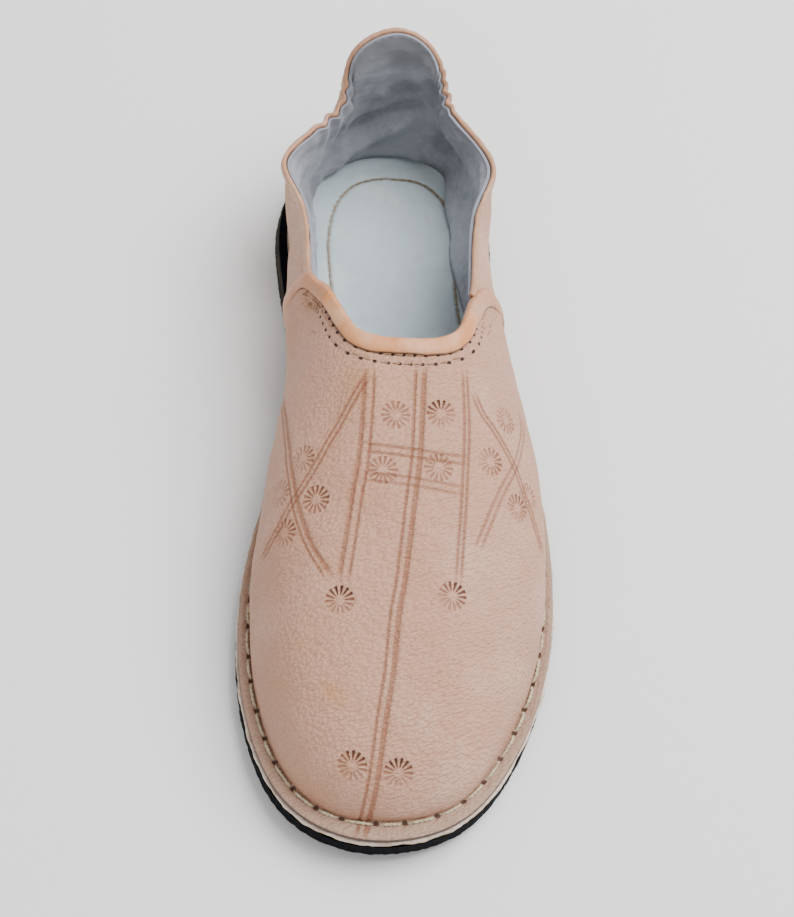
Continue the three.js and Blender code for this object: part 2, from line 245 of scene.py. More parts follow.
SECTIONS = (
    Section("heel", 0, 0.007, 0.001, 0.01, 0, 1),
    Section("tab inner", 0.0085, -0.12, 0.011, -0.097, 0, 0.89),
    Section("heel corner", 0.033, -0.228, 0.029, -0.16, 0, 0.55),
    Section("neck", 0.0726, -0.304, 0.052, -0.172, 0, 0.1),
    Section("collar dip", 0.117, -0.341, 0.081, -0.255, 0, -0.075),
    Section("ankle", 0.16, -0.35, 0.1385, -0.366, 0, -0.01),
    Section("shank", 0.209, -0.342, 0.195, -0.323, 0.04, 0),
    Section("waist", 0.262, -0.331, 0.2586, -0.291, 0.16, 0),
    Section("wing", 0.319, -0.33, 0.326, -0.282, 0.42, 0),
    Section("instep", 0.425, -0.357, 0.352, -0.235, 0.65, 0),
    Section("joint", 0.542, -0.4185, 0.381, -0.191, 0.79, 0),
    Section("ball", 0.6625, -0.484, 0.411, -0.152, 0.9, 0),
    Section("big toe side", 0.8006, -0.49, 0.425, -0.113, 0.96, 0),
    Section("big toe corner", 0.9245, -0.398, 0.4315, -0.072, 0.99, 0),
    Section("big toe tip", 0.984, -0.241, 0.4343, -0.03, 1, 0),
    Section("toe", 1, -0.078, 0.4353, 0.013, 1, 0),
    Section("toe tip outer", 0.99, 0.093, 0.4357, 0.056, 1, 0),
    Section("toe corner outer", 0.9415, 0.2685, 0.4346, 0.098, 0.99, 0),
    Section("little toe side", 0.827, 0.4305, 0.43, 0.141, 0.955, 0),
    Section("ball outer", 0.687, 0.5, 0.4194, 0.178, 0.885, 0),
    Section("joint outer", 0.5455, 0.486, 0.398, 0.209, 0.78, 0),
    Section("instep outer", 0.425, 0.437, 0.3666, 0.233, 0.57, 0),
    Section("wing outer", 0.319, 0.3825, 0.331, 0.254, 0.3, 0),
    Section("waist outer", 0.262, 0.359, 0.273, 0.27, 0.09, 0),
    Section("shank outer", 0.209, 0.3565, 0.2055, 0.302, 0, -0.005),
    Section("ankle outer", 0.16, 0.365, 0.1455, 0.352, 0, -0.03),
    Section("collar dip outer", 0.115, 0.357, 0.0815, 0.276, 0, -0.08),
    Section("neck outer", 0.0716, 0.32, 0.0496, 0.209, 0, 0.075),
    Section("heel corner outer", 0.0326, 0.244, 0.028, 0.181, 0, 0.49),
    Section("tab outer", 0.0085, 0.137, 0.009, 0.114, 0, 0.87),
)
PROFILES = (
    Profile(0, 0.3, 0.032, 0, 0.34, -0.032),
    Profile(3, 0.3, 0.045, 0, 0.4, 0.009),
    Profile(5, 0.32, 0.062, 0, 0.36, -0.009),
    Profile(7, 0.36, 0.082, 0, 0.34, 0.065),
    Profile(8, 0.36, 0.08, 0, 0.3, 0.097),
    Profile(9.6, 0.42, 0.094, 0.58, 0.3, 0),
    Profile(11, 0.44, 0.04, 0.66, 0.36, 0),
    Profile(12.5, 0.45, 0.009, 0.69, 0.38, 0),
    Profile(15, 0.44, 0.009, 0.7, 0.38, 0),
    Profile(17.5, 0.45, 0.009, 0.69, 0.38, 0),
    Profile(19, 0.44, 0.036, 0.66, 0.36, 0),
    Profile(20.4, 0.42, 0.062, 0.58, 0.3, 0),
    Profile(22, 0.36, 0.062, 0, 0.3, 0.093),
    Profile(23, 0.36, 0.085, 0, 0.34, 0.065),
    Profile(25, 0.32, 0.056, 0, 0.36, -0.009),
    Profile(27, 0.3, 0.045, 0, 0.4, 0.009),
)


@dataclass(frozen=True)
class Gather:
    """A stretch of the collar where the binding is drawn up in small bumps."""

    turn: float
    reach: float
    pitch: float
    height: float


@dataclass
class Last:
    """The slipper's form: curves and surfaces that every piece is laid on."""

    upper_length: float = 282.3
    ball_width: float = 108
    collar_height: float = 53
    throat_height: float = 68.1
    tab_height: float = 79.5
    toe_spring: float = 5
    spring_reach: float = 67
    edge_width_side: float = 4.2
    edge_width_toe: float = 6.9
    upper_seat: float = 9.6
    edge_top: float = 11.2
    wing_inner: float = 8
    wing_outer: float = 22
    wing_step: float = 1.1
    gathers: tuple[Gather, ...] = (
        Gather(2.75, 0.3, 0.42, 0.7),
        Gather(3.6, 0.45, 0.44, 1.0),
        Gather(27.2, 0.4, 0.38, 1.0),
        Gather(27.9, 0.25, 0.42, 0.4),
    )
    edge_tucks: tuple[tuple[float, float], ...] = (
        (0, 0.8), (3, 1.8), (5, 2.1), (7, 2), (8.6, 1.5), (10, 0.8), (11, 0),
        (19.4, 0), (20.5, 0.5), (22, 1), (23, 1.6), (24.2, 2.2), (25.5, 2.2), (27, 1.6),
    )  # fmt: skip
    sole_tucks: tuple[tuple[float, float], ...] = (
        (0, 0.2), (3, 0.3), (5, 0.4), (7, 0.7), (8, 1.4), (9.5, 1.4), (10.6, 0.9), (11.6, 0.3),
        (14, 0), (17, 0.2), (19.4, 0.7), (20.5, 0.8), (22, 0.9), (23, 1.2), (24.2, 2), (25.5, 2), (27, 1),
    )  # fmt: skip

    def __post_init__(self) -> None:
        """Builds the curves through the sections and sets the form in the frame."""
        self.count = len(SECTIONS)
        self.edge_tuck = closed_blend(*zip(*self.edge_tucks), self.count)
        self.sole_tuck = closed_blend(*zip(*self.sole_tucks), self.count)
        self.toe = [section.name for section in SECTIONS].index("toe")
        columns = ("edge_along", "edge_across", "top_along", "top_across", "throat", "tab")
        self.share = {name: closed_spline([getattr(s, name) for s in SECTIONS]) for name in columns}
        turns = [profile.turn for profile in PROFILES]
        handles = ("rise", "swell", "back", "drop", "spread")
        self.handle = {
            name: closed_blend(turns, [getattr(p, name) for p in PROFILES], self.count)
            for name in handles
        }
        self.toe_share = closed_blend((11, 13.3, 15, 16.7, 19), (0, 0.52, 1, 0.52, 0), self.count)
        self.heel_share = closed_blend((0, 6, 9, 21, 24), (1, 1, 0, 0, 1), self.count)
        self.shift = np.zeros(3)
        around = np.linspace(0, self.count, 1200)
        outline = self.edge(around)
        low, high = (np.array(corner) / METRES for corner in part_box("upper"))
        centre = (outline.min(0) + outline.max(0)) / 2
        self.shift = np.array([*((low + high) / 2 - centre)[:2], 0])

    def along_to_y(self, along: np.ndarray) -> np.ndarray:
        """Place along the foot, from a share of the length measured from the heel."""
        return (0.5 - along) * self.upper_length

    def spring(self, y: np.ndarray) -> np.ndarray:
        """Height that the toe spring adds at a place along the foot."""
        start = self.upper_length / 2 - self.spring_reach
        reach = np.maximum(0, -start - (y - self.shift[1])) / self.spring_reach
        return self.toe_spring * reach * reach

    def edge(self, turn: np.ndarray) -> np.ndarray:
        """Outline of the turned-out edge in plan."""
        x = self.share["edge_across"](turn) * self.ball_width
        y = self.along_to_y(self.share["edge_along"](turn))
        return np.stack([x, y, np.zeros_like(x)], -1) + self.shift

    def edge_normal(self, turn: np.ndarray) -> np.ndarray:
        """Level direction outwards from the outline."""
        step = 0.001
        tangent = self.edge(turn + step) - self.edge(turn - step)
        return unit(np.stack([tangent[..., 1], -tangent[..., 0], tangent[..., 2] * 0], -1))

    def rim(self, turn: np.ndarray, outwards: np.ndarray, height: np.ndarray) -> np.ndarray:
        """Point outside the outline, at a height over the sprung sole.

        Args:
            turn: Section numbers.
            outwards: Distance outside the outline, negative inside.
            height: Height over the floor before the toe spring.
        """
        turn, outwards, height = np.broadcast_arrays(turn, outwards, height)
        turn = turn.astype(float)
        point = self.edge(turn) + self.edge_normal(turn) * outwards[..., None]
        point[..., 2] = height + self.spring(point[..., 1])
        return point

    def edge_width(self, turn: np.ndarray) -> np.ndarray:
        """Width of the turned-out edge."""
        grown = self.edge_width_toe - self.edge_width_side
        return self.edge_width_side + grown * self.toe_share(turn)

    def top(self, turn: np.ndarray) -> np.ndarray:
        """The topline, at the outside of the vamp's leather."""
        x = self.share["top_across"](turn) * self.ball_width
        y = self.along_to_y(self.share["top_along"](turn))
        throat = self.share["throat"](turn) * (self.throat_height - self.collar_height)
        tab = self.share["tab"](turn) * (self.tab_height - self.collar_height)
        lift = np.array([0, 0, self.collar_height])
        return np.stack([x, y, throat + tab], -1) + self.shift + lift

    def handles(self, turn: np.ndarray) -> tuple[np.ndarray, np.ndarray, np.ndarray, np.ndarray]:
        """The four handles of the wall's curve at each section."""
        foot = self.rim(turn, -self.edge_width(turn), self.edge_top)
        top = self.top(turn)
        normal = self.edge_normal(turn)
        handle = {name: curve(turn)[..., None] for name, curve in self.handle.items()}
        rise = (top - foot)[..., 2:]
        up = np.array([0, 0, 1])
        lower = foot + normal * handle["swell"] * self.ball_width + up * handle["rise"] * rise
        run = (top - foot) * (1 - up) * handle["back"]
        upper = top + normal * handle["spread"] * self.ball_width - run - up * handle["drop"] * rise
        return foot, lower, upper, top

    def wall(self, turn: np.ndarray, share: np.ndarray) -> np.ndarray:
        """Point of the upper's outside, a share of the way from the feather line to the top."""
        turn, share = np.broadcast_arrays(np.asarray(turn, float), np.asarray(share, float))
        foot, lower, upper, top = self.handles(turn)
        v = share[..., None]
        w = 1 - v
        return w**3 * foot + 3 * w * w * v * lower + 3 * w * v * v * upper + v**3 * top

    def slopes(self, turn: np.ndarray, share: np.ndarray) -> tuple[np.ndarray, np.ndarray]:
        """How the wall's point moves with the section number and with the share."""
        step = 0.002
        around = self.wall(turn + step, share) - self.wall(turn - step, share)
        upwards = self.wall(turn, share + step) - self.wall(turn, share - step)
        return around / (2 * step), upwards / (2 * step)

    def normal(self, turn: np.ndarray, share: np.ndarray) -> np.ndarray:
        """Direction outwards from the wall."""
        return unit(np.cross(*self.slopes(turn, share)))

    def steps_in(self, path: np.ndarray, inside: np.ndarray) -> np.ndarray:
        """Moves in section number and share that lead a millimetre in from a path on the wall.

        Args:
            path: Section number and share of each place on the edge.
            inside: Points on the side that counts as in.
        """
        places = self.wall(path[:, 0], path[:, 1])
        around, upwards = self.slopes(path[:, 0], path[:, 1])
        ahead = unit(np.gradient(places, axis=0))
        inwards = unit(np.cross(unit(np.cross(around, upwards)), ahead))
        if np.einsum("ij,ij->i", inwards, inside - places).mean() < 0:
            inwards = -inwards
        return (np.linalg.pinv(np.stack([around, upwards], -1)) @ inwards[..., None])[..., 0]

    def vamp_middle(self) -> np.ndarray:
        """A place on the vamp, in front of the throat's middle."""
        return self.wall(np.array([float(self.toe)]), np.array([0.8]))

    def quarter_share(self, turn: np.ndarray) -> np.ndarray:
        """1 round the heel, where the quarter lies under the wings, and 0 in the forepart."""
        inner = smooth_step(self.wing_inner + 0.7, self.wing_inner, turn)
        outer = smooth_step(self.wing_outer - 0.7, self.wing_outer, turn)
        return np.clip(inner + outer, 0, 1)

    def bound_share(self, turn: np.ndarray) -> np.ndarray:
        """Share of the rise at which the vamp's bound edge lies."""
        path = self.vamp_path()
        rising = np.maximum.accumulate(path[:, 0]) + np.arange(len(path)) * 1e-9
        return np.interp(turn, rising, path[:, 1])

    def skin(self, turn: np.ndarray, share: np.ndarray, outwards: np.ndarray) -> np.ndarray:
        """Point a distance outside the wall, gathered where the collar is drawn up."""
        turn, share = np.broadcast_arrays(np.asarray(turn, float), np.asarray(share, float))
        outwards = np.asarray(outwards) + self.gather(turn) * smooth_step(0.55, 1, share)
        return self.wall(turn, share) + self.normal(turn, share) * outwards[..., None]

    def gather(self, turn: np.ndarray) -> np.ndarray:
        """How far the drawn-up collar stands out at each section."""
        wrapped = np.mod(turn, self.count)
        total = np.zeros_like(wrapped)
        for gather in self.gathers:
            away = wrapped - gather.turn
            wave = np.cos(2 * math.pi * away / gather.pitch)
            total += gather.height * wave * bell(away, gather.reach)
        return total

    def share_below_top(self, turn: np.ndarray, depth: np.ndarray) -> np.ndarray:
        """Share of the way up at which the wall lies a depth below the top."""
        _, _, upper, top = self.handles(np.asarray(turn, float))
        return 1 - depth / (3 * np.linalg.norm(top - upper, axis=-1))

    def even_shares(self, turns: np.ndarray, count: int, last: np.ndarray) -> np.ndarray:
        """Shares that are evenly spaced over the wall, from the feather line up.

        Args:
            turns: Section numbers, one for each column.
            count: Points in each column.
            last: Share at the top of each column.

        Returns:
            Shares with a row for each column.
        """
        samples = np.linspace(0, 1, 120)
        shares = samples[None, :] * last[:, None]
        points = self.wall(turns[:, None], shares)
        rows = []
        for column, share in zip(points, shares):
            along = cumulative(column)
            rows.append(np.interp(np.linspace(0, along[-1], count), along, share))
        return np.array(rows)

    def even_turns(self, start: float, end: float, count: int, share: float) -> np.ndarray:
        """Section numbers that are evenly spaced along the wall at one share of its rise."""
        samples = np.linspace(start, end, 1500)
        along = cumulative(self.wall(samples, share))
        return np.interp(np.linspace(0, along[-1], count), along, samples)

    def vamp_path(self) -> np.ndarray:
        """The vamp's bound edge: up one wing's rear edge, round the throat, down the other wing.

        Returns:
            Section number and share of the rise at even steps, with both corners rounded.
        """
        rise = np.linspace(0.04, 1, 120)
        lean = 0.09 + 0.05 * smooth_step(0.6, 1, rise)
        around = np.linspace(self.wing_inner - lean[-1], self.wing_outer - 0.55, 340)[1:]
        corner = bell(around - self.wing_inner, 0.4)
        shoulder = (self.wing_outer + 0.16, 0.9)
        rough = np.vstack(
            [
                np.stack([self.wing_inner - lean, rise * (1 + 0.64 * lean)], 1),
                np.stack([around, 1 + 0.035 * corner], 1),
                np.linspace((around[-1], 1), shoulder, 40)[1:],
                np.linspace(shoulder, (shoulder[0], rise[0]), 120)[1:],
            ]
        )
        run = cumulative(self.wall(rough[:, 0], rough[:, 1]))
        marks = np.arange(0, run[-1], 0.7)
        path = np.stack([np.interp(marks, run, rough[:, axis]) for axis in (0, 1)], 1)
        rounding_passes = 170
        return relaxed(path, rounding_passes)


@dataclass(frozen=True)
class PhotoCamera:
    """The camera of the photograph, fitted to the slipper: millimetres, degrees and pixels."""

    place: tuple[float, float, float] = (-69.3, -475.8, 867.5)
    pitch_down: float = 60.83
    yaw: float = 0.21
    roll: float = 0.69
    focal: float = 2800.3
    width: int = 794
    height: int = 917
    slipper_column: float = 595

    def axes(self) -> tuple[np.ndarray, np.ndarray, np.ndarray]:
        """Directions forward, to the right and up."""
        pitch, yaw, roll = (math.radians(a) for a in (self.pitch_down, self.yaw, self.roll))
        level = np.array([math.sin(yaw), math.cos(yaw), 0]) * math.cos(pitch)
        forward = level - np.array([0, 0, math.sin(pitch)])
        right = np.array([math.cos(yaw), -math.sin(yaw), 0])
        up = np.cross(right, forward)
        rolled = math.cos(roll) * right + math.sin(roll) * up
        return forward, rolled, math.cos(roll) * up - math.sin(roll) * right

    def rays(self, pixels: np.ndarray) -> np.ndarray:
        """Directions in which the photograph sees its pixels."""
        forward, right, up = self.axes()
        across = (np.asarray(pixels, float)[..., 0] - self.width / 2) / self.focal
        down = (np.asarray(pixels, float)[..., 1] - self.height / 2) / self.focal
        return unit(forward + across[..., None] * right - down[..., None] * up)

    def build(self) -> bpy.types.Object:
        """Makes the scene's camera: same place and distance, turned to the one slipper."""
        _, _, up = self.axes()
        forward = self.rays(np.array([self.slipper_column, self.height / 2]))
        right = unit(np.cross(forward, up))
        data = bpy.data.cameras.new("camera")
        data.sensor_width = 36
        data.lens = self.focal * data.sensor_width / max(self.width, self.height)
        data.clip_start = 0.05
        data.clip_end = 20
        camera = place_in_scene("camera", data)
        rotation = Matrix((right, up, -forward)).transposed().to_4x4()
        camera.matrix_world = Matrix.Translation(Vector(self.place) * METRES) @ rotation
        bpy.context.scene.camera = camera
        return camera


def signed_volume(points: np.ndarray, faces: Sequence[Sequence[int]]) -> float:
    """Volume of a closed body, negative where its faces point inwards."""
    total = 0.0
    by_length: dict[int, list[Sequence[int]]] = {}
    for face in faces:
        by_length.setdefault(len(face), []).append(face)
    for length, group in by_length.items():
        corners = points[np.array(group)]
        for index in range(1, length - 1):
            a, b, c = corners[:, 0], corners[:, index], corners[:, index + 1]
            total += float(np.einsum("ij,ij->", a, np.cross(b, c)))
    return total / 6


def body(
    name: str,
    points: np.ndarray,
    faces: list[Sequence[int]],
    attributes: dict[str, np.ndarray],
    sharp_angle: float,
) -> bpy.types.Object:
    """Makes a closed piece from points and faces, with its faces pointing outwards.

    Args:
        name: Name of the piece.
        points: Places in millimetres, one row each.
        faces: Corner numbers of each face, all turning the same way.
        attributes: Three numbers at each of the points, by name.
        sharp_angle: Angle in degrees past which an edge stays sharp.

    Returns:
        The new object, at the origin.
    """
    if signed_volume(points, faces) < 0:
        faces = [tuple(reversed(face)) for face in faces]
    mesh = bpy.data.meshes.new(name)
    mesh.from_pydata((points * METRES).tolist(), [], [tuple(map(int, f)) for f in faces])
    big = [polygon.index for polygon in mesh.polygons if polygon.loop_total > 4]
    if big:
        work = bmesh.new()
        work.from_mesh(mesh)
        work.faces.ensure_lookup_table()
        bmesh.ops.triangulate(work, faces=[work.faces[i] for i in big], ngon_method="EAR_CLIP")
        work.to_mesh(mesh)
        work.free()
    for title, values in attributes.items():
        write_vectors(mesh, title, values)
    mesh.shade_smooth()
    mesh.set_sharp_from_angle(angle=math.radians(sharp_angle))
    return place_in_scene(name, mesh)


def ring_faces(rings: int, per_ring: int, loop: bool) -> list[tuple[int, ...]]:
    """Faces of a closed body from rings of points, with its ends closed unless it is a loop."""
    faces: list[tuple[int, ...]] = []
    for ring in range(rings if loop else rings - 1):
        here = ring * per_ring
        there = (ring + 1) % rings * per_ring
        for side in range(per_ring):
            after = (side + 1) % per_ring
            faces.append((here + side, there + side, there + after, here + after))
    if not loop:
        last = (rings - 1) * per_ring
        faces.append(tuple(range(per_ring)))
        faces.append(tuple(last + side for side in reversed(range(per_ring))))
    return faces


def ring_body(
    name: str,
    rings: np.ndarray,
    loop: bool,
    attributes: dict[str, np.ndarray],
    sharp_angle: float,
) -> bpy.types.Object:
    """Makes a closed piece from rings of points.

    Args:
        name: Name of the piece.
        rings: Places in millimetres: ring, point of the ring, coordinate.
        loop: Whether the last ring joins the first.
        attributes: Values at the points, shaped as the rings are.
        sharp_angle: Angle in degrees past which an edge stays sharp.
    """
    count, per_ring = rings.shape[:2]
    flat = {title: values.reshape(-1, 3) for title, values in attributes.items()}
    faces = ring_faces(count, per_ring, loop)
    return body(name, rings.reshape(-1, 3), faces, flat, sharp_angle)


def disc_body(
    name: str,
    last: Last,
    levels: list[tuple[Callable[[np.ndarray], np.ndarray], Callable[[np.ndarray], np.ndarray]]],
    steps: int,
    across: int,
    finish: Callable[[np.ndarray], dict[str, np.ndarray]],
    reshape: Callable[[np.ndarray, np.ndarray], np.ndarray],
    sharp_angle: float = 50,
) -> bpy.types.Object:
    """Makes a flat closed piece under the foot, from its top face down to its bottom face.

    Args:
        name: Name of the piece.
        last: The slipper's form.
        levels: Margin outside the outline and height of each level, both by section number.
        steps: Rows of faces from heel to toe.
        across: Faces from side to side in the top and the bottom.
        finish: Gives the attributes of the finished points.
        reshape: Moves the points, given them and the section number of each.
        sharp_angle: Angle in degrees past which an edge stays sharp.
    """
    inner = np.linspace(0, last.toe, steps + 1)
    turns = np.concatenate([inner, last.count - inner[-2:0:-1]])
    around = len(turns)
    rows = [last.rim(turns, margin(turns), height(turns)) for margin, height in levels]
    points = [np.vstack(rows)]
    labels = [np.tile(turns, len(levels))]
    faces: list[tuple[int, ...]] = []
    for level in range(len(levels) - 1):
        for side in range(around):
            after = (side + 1) % around
            upper, lower = level * around, (level + 1) * around
            faces.append((upper + side, lower + side, lower + after, upper + after))
    total = around * len(levels)
    for level, faces_up in ((0, True), (len(levels) - 1, False)):
        first = level * around
        loop = rows[level]
        lines = []
        for row in range(1, steps):
            near, far = row, around - row
            share = np.linspace(0, 1, across + 1)[1:-1, None]
            middle = loop[near] * (1 - share) + loop[far] * share
            flat_height = float(levels[level][1](np.array([turns[near]]))[0])
            middle[:, 2] = flat_height + last.spring(middle[:, 1])
            points.append(middle)
            labels.append(np.full(len(middle), turns[near]))
            inside = list(range(total, total + len(middle)))
            total += len(middle)
            lines.append([first + near, *inside, first + far])
        cap = []
        for here, there in zip(lines, lines[1:]):
            for step in range(across):
                cap.append((here[step], there[step], there[step + 1], here[step + 1]))
        for step in range(across):
            cap.append((first, lines[0][step], lines[0][step + 1]))
            cap.append((first + steps, lines[-1][step + 1], lines[-1][step]))
        faces.extend(cap if faces_up else [tuple(reversed(face)) for face in cap])
    everything = reshape(np.vstack(points), np.concatenate(labels))
    return body(name, everything, faces, finish(everything), sharp_angle)


def linear(colour: str) -> tuple[float, float, float, float]:
    """sRGB hex colour as linear light."""
    parts = [int(colour[index : index + 2], 16) / 255 for index in (1, 3, 5)]
    light = [c / 12.92 if c <= 0.04045 else ((c + 0.055) / 1.055) ** 2.4 for c in parts]
    return (*light, 1.0)


def add_node(
    tree: bpy.types.NodeTree, kind: str, inputs: dict | None = None, **settings: object
) -> bpy.types.Node:
    """Adds a node with its settings and links.

    Args:
        tree: Tree that the node joins.
        kind: Blender's name of the node type.
        inputs: By socket name or number, a constant, a socket, or a node for its first output.
        settings: Properties of the node.

    Returns:
        The new node.
    """
    node = tree.nodes.new(kind)
    for title, value in settings.items():
        setattr(node, title, value)
    for key, value in (inputs or {}).items():
        if isinstance(value, bpy.types.Node):
            tree.links.new(value.outputs[0], node.inputs[key])
        elif isinstance(value, bpy.types.NodeSocket):
            tree.links.new(value, node.inputs[key])
        else:
            node.inputs[key].default_value = value
    return node


class Finish:
    """A procedural material whose colour and relief are built up in layers."""

    def __init__(self, name: str, colour: str) -> None:
        """Starts a material with one colour and no relief."""
        self.material = bpy.data.materials.new(name)
        self.material.use_nodes = True
        self.tree = self.material.node_tree
        self.tree.nodes.clear()
        self.shader = add_node(self.tree, "ShaderNodeBsdfPrincipled")
        add_node(self.tree, "ShaderNodeOutputMaterial", {"Surface": self.shader})
        self.place = add_node(self.tree, "ShaderNodeTexCoord").outputs["Object"]
        self.colour: bpy.types.NodeSocket | tuple = linear(colour)
        self.relief: bpy.types.NodeSocket | float = 0.0

    def math(self, operation: str, *values: object) -> bpy.types.NodeSocket:
        """Result of a sum on one to three values."""
        inputs = dict(enumerate(values))
        return add_node(self.tree, "ShaderNodeMath", inputs, operation=operation).outputs[0]

    def times(self, first: object, second: object) -> bpy.types.NodeSocket:
        """Product of two values."""
        return self.math("MULTIPLY", first, second)

    def length(self, across: object, along: object) -> bpy.types.NodeSocket:
        """Length of the way to a place that lies across and along."""
        squared = self.math("MULTIPLY_ADD", across, across, self.times(along, along))
        return self.math("SQRT", squared)

    def clouds(self, size: float, detail: float, low: float, high: float) -> bpy.types.NodeSocket:
        """Noise with a grain of a size in millimetres, ramped from low to high."""
        return self.ramp(self.noise(size, detail), low, high)

    def ramp(self, value: object, low: float, high: float) -> bpy.types.NodeSocket:
        """0 where the value is low, 1 where it is high, smooth between; high may be smaller."""
        turned = low > high
        inputs = {0: value, 1: min(low, high), 2: max(low, high)}
        inputs |= {3: 1.0, 4: 0.0} if turned else {3: 0.0, 4: 1.0}
        kind = "ShaderNodeMapRange"
        return add_node(self.tree, kind, inputs, interpolation_type="SMOOTHSTEP").outputs[0]

    def attribute(self, name: str) -> tuple[bpy.types.NodeSocket, ...]:
        """A piece's attribute, as its three parts and its single value."""
        node = add_node(self.tree, "ShaderNodeAttribute", attribute_name=name)
        parts = add_node(self.tree, "ShaderNodeSeparateXYZ", {0: node.outputs["Vector"]})
        return (*parts.outputs, node.outputs["Fac"])

    def noise(self, size: float, detail: float = 3, stretch: tuple = (1, 1, 1)) -> object:
        """Noise with a grain of a size in millimetres, stretched by three factors."""
        scale = tuple(1 / (size * METRES * s) for s in stretch)
        inputs = {"Vector": self.place, "Scale": scale}
        moved = add_node(self.tree, "ShaderNodeMapping", inputs)
        inputs = {"Vector": moved, "Scale": 1.0, "Detail": detail, "Roughness": 0.55}
        return add_node(self.tree, "ShaderNodeTexNoise", inputs).outputs[0]

    def cells(
        self, size: float, feature: str = "F1", stretch: tuple = (1, 1, 1), turn: float = 0
    ) -> object:
        """Distance pattern of irregular cells of a size in millimetres, turned about Z."""
        scale = tuple(1 / (size * METRES * s) for s in stretch)
        wander = add_node(
            self.tree, "ShaderNodeTexNoise", {"Vector": self.place, "Scale": 0.7 / (size * METRES)}
        )
        inputs = {0: wander.outputs["Color"], 1: (size * METRES,) * 3, 2: self.place}
        bent = add_node(self.tree, "ShaderNodeVectorMath", inputs, operation="MULTIPLY_ADD")
        turned = add_node(self.tree, "ShaderNodeMapping", {"Vector": bent, "Rotation": (0, 0, turn)})
        moved = add_node(self.tree, "ShaderNodeMapping", {"Vector": turned, "Scale": scale})
        inputs = {"Vector": moved, "Scale": 1.0}
        return add_node(self.tree, "ShaderNodeTexVoronoi", inputs, feature=feature).outputs[0]

    def tint(self, share: object, colour: str, amount: float = 1) -> None:
        """Lays a colour over the finish where a share asks for it, up to an amount."""
        if amount != 1:
            share = self.times(share, amount)
        inputs = {0: share, 6: self.colour, 7: linear(colour)}
        mix = add_node(self.tree, "ShaderNodeMix", inputs, data_type="RGBA", clamp_factor=True)
        self.colour = mix.outputs[2]

    def raise_by(self, height: object, millimetres: float) -> None:
        """Adds relief of a height, in millimetres where the value is one."""
        self.relief = self.math("MULTIPLY_ADD", height, millimetres, self.relief)

    def close(self, roughness: object, strength: float = 1, **sockets: object) -> bpy.types.Material:
        """Links colour and relief to the shader and returns the material.

        Args:
            roughness: Roughness of the surface, a number or a socket.
            strength: How much of the relief shows in the shading.
            sockets: Other sockets of the shader, with spaces written as underscores.
        """
        inputs = {"Height": self.relief, "Distance": METRES, "Strength": strength}
        bump = add_node(self.tree, "ShaderNodeBump", inputs)
        self.tree.links.new(bump.outputs[0], self.shader.inputs["Normal"])
        values = {"Base Color": self.colour, "Roughness": roughness}
        values |= {name.replace("_", " "): value for name, value in sockets.items()}
        for name, value in values.items():
            if isinstance(value, bpy.types.NodeSocket):
                self.tree.links.new(value, self.shader.inputs[name])
            else:
                self.shader.inputs[name].default_value = value
        return self.material


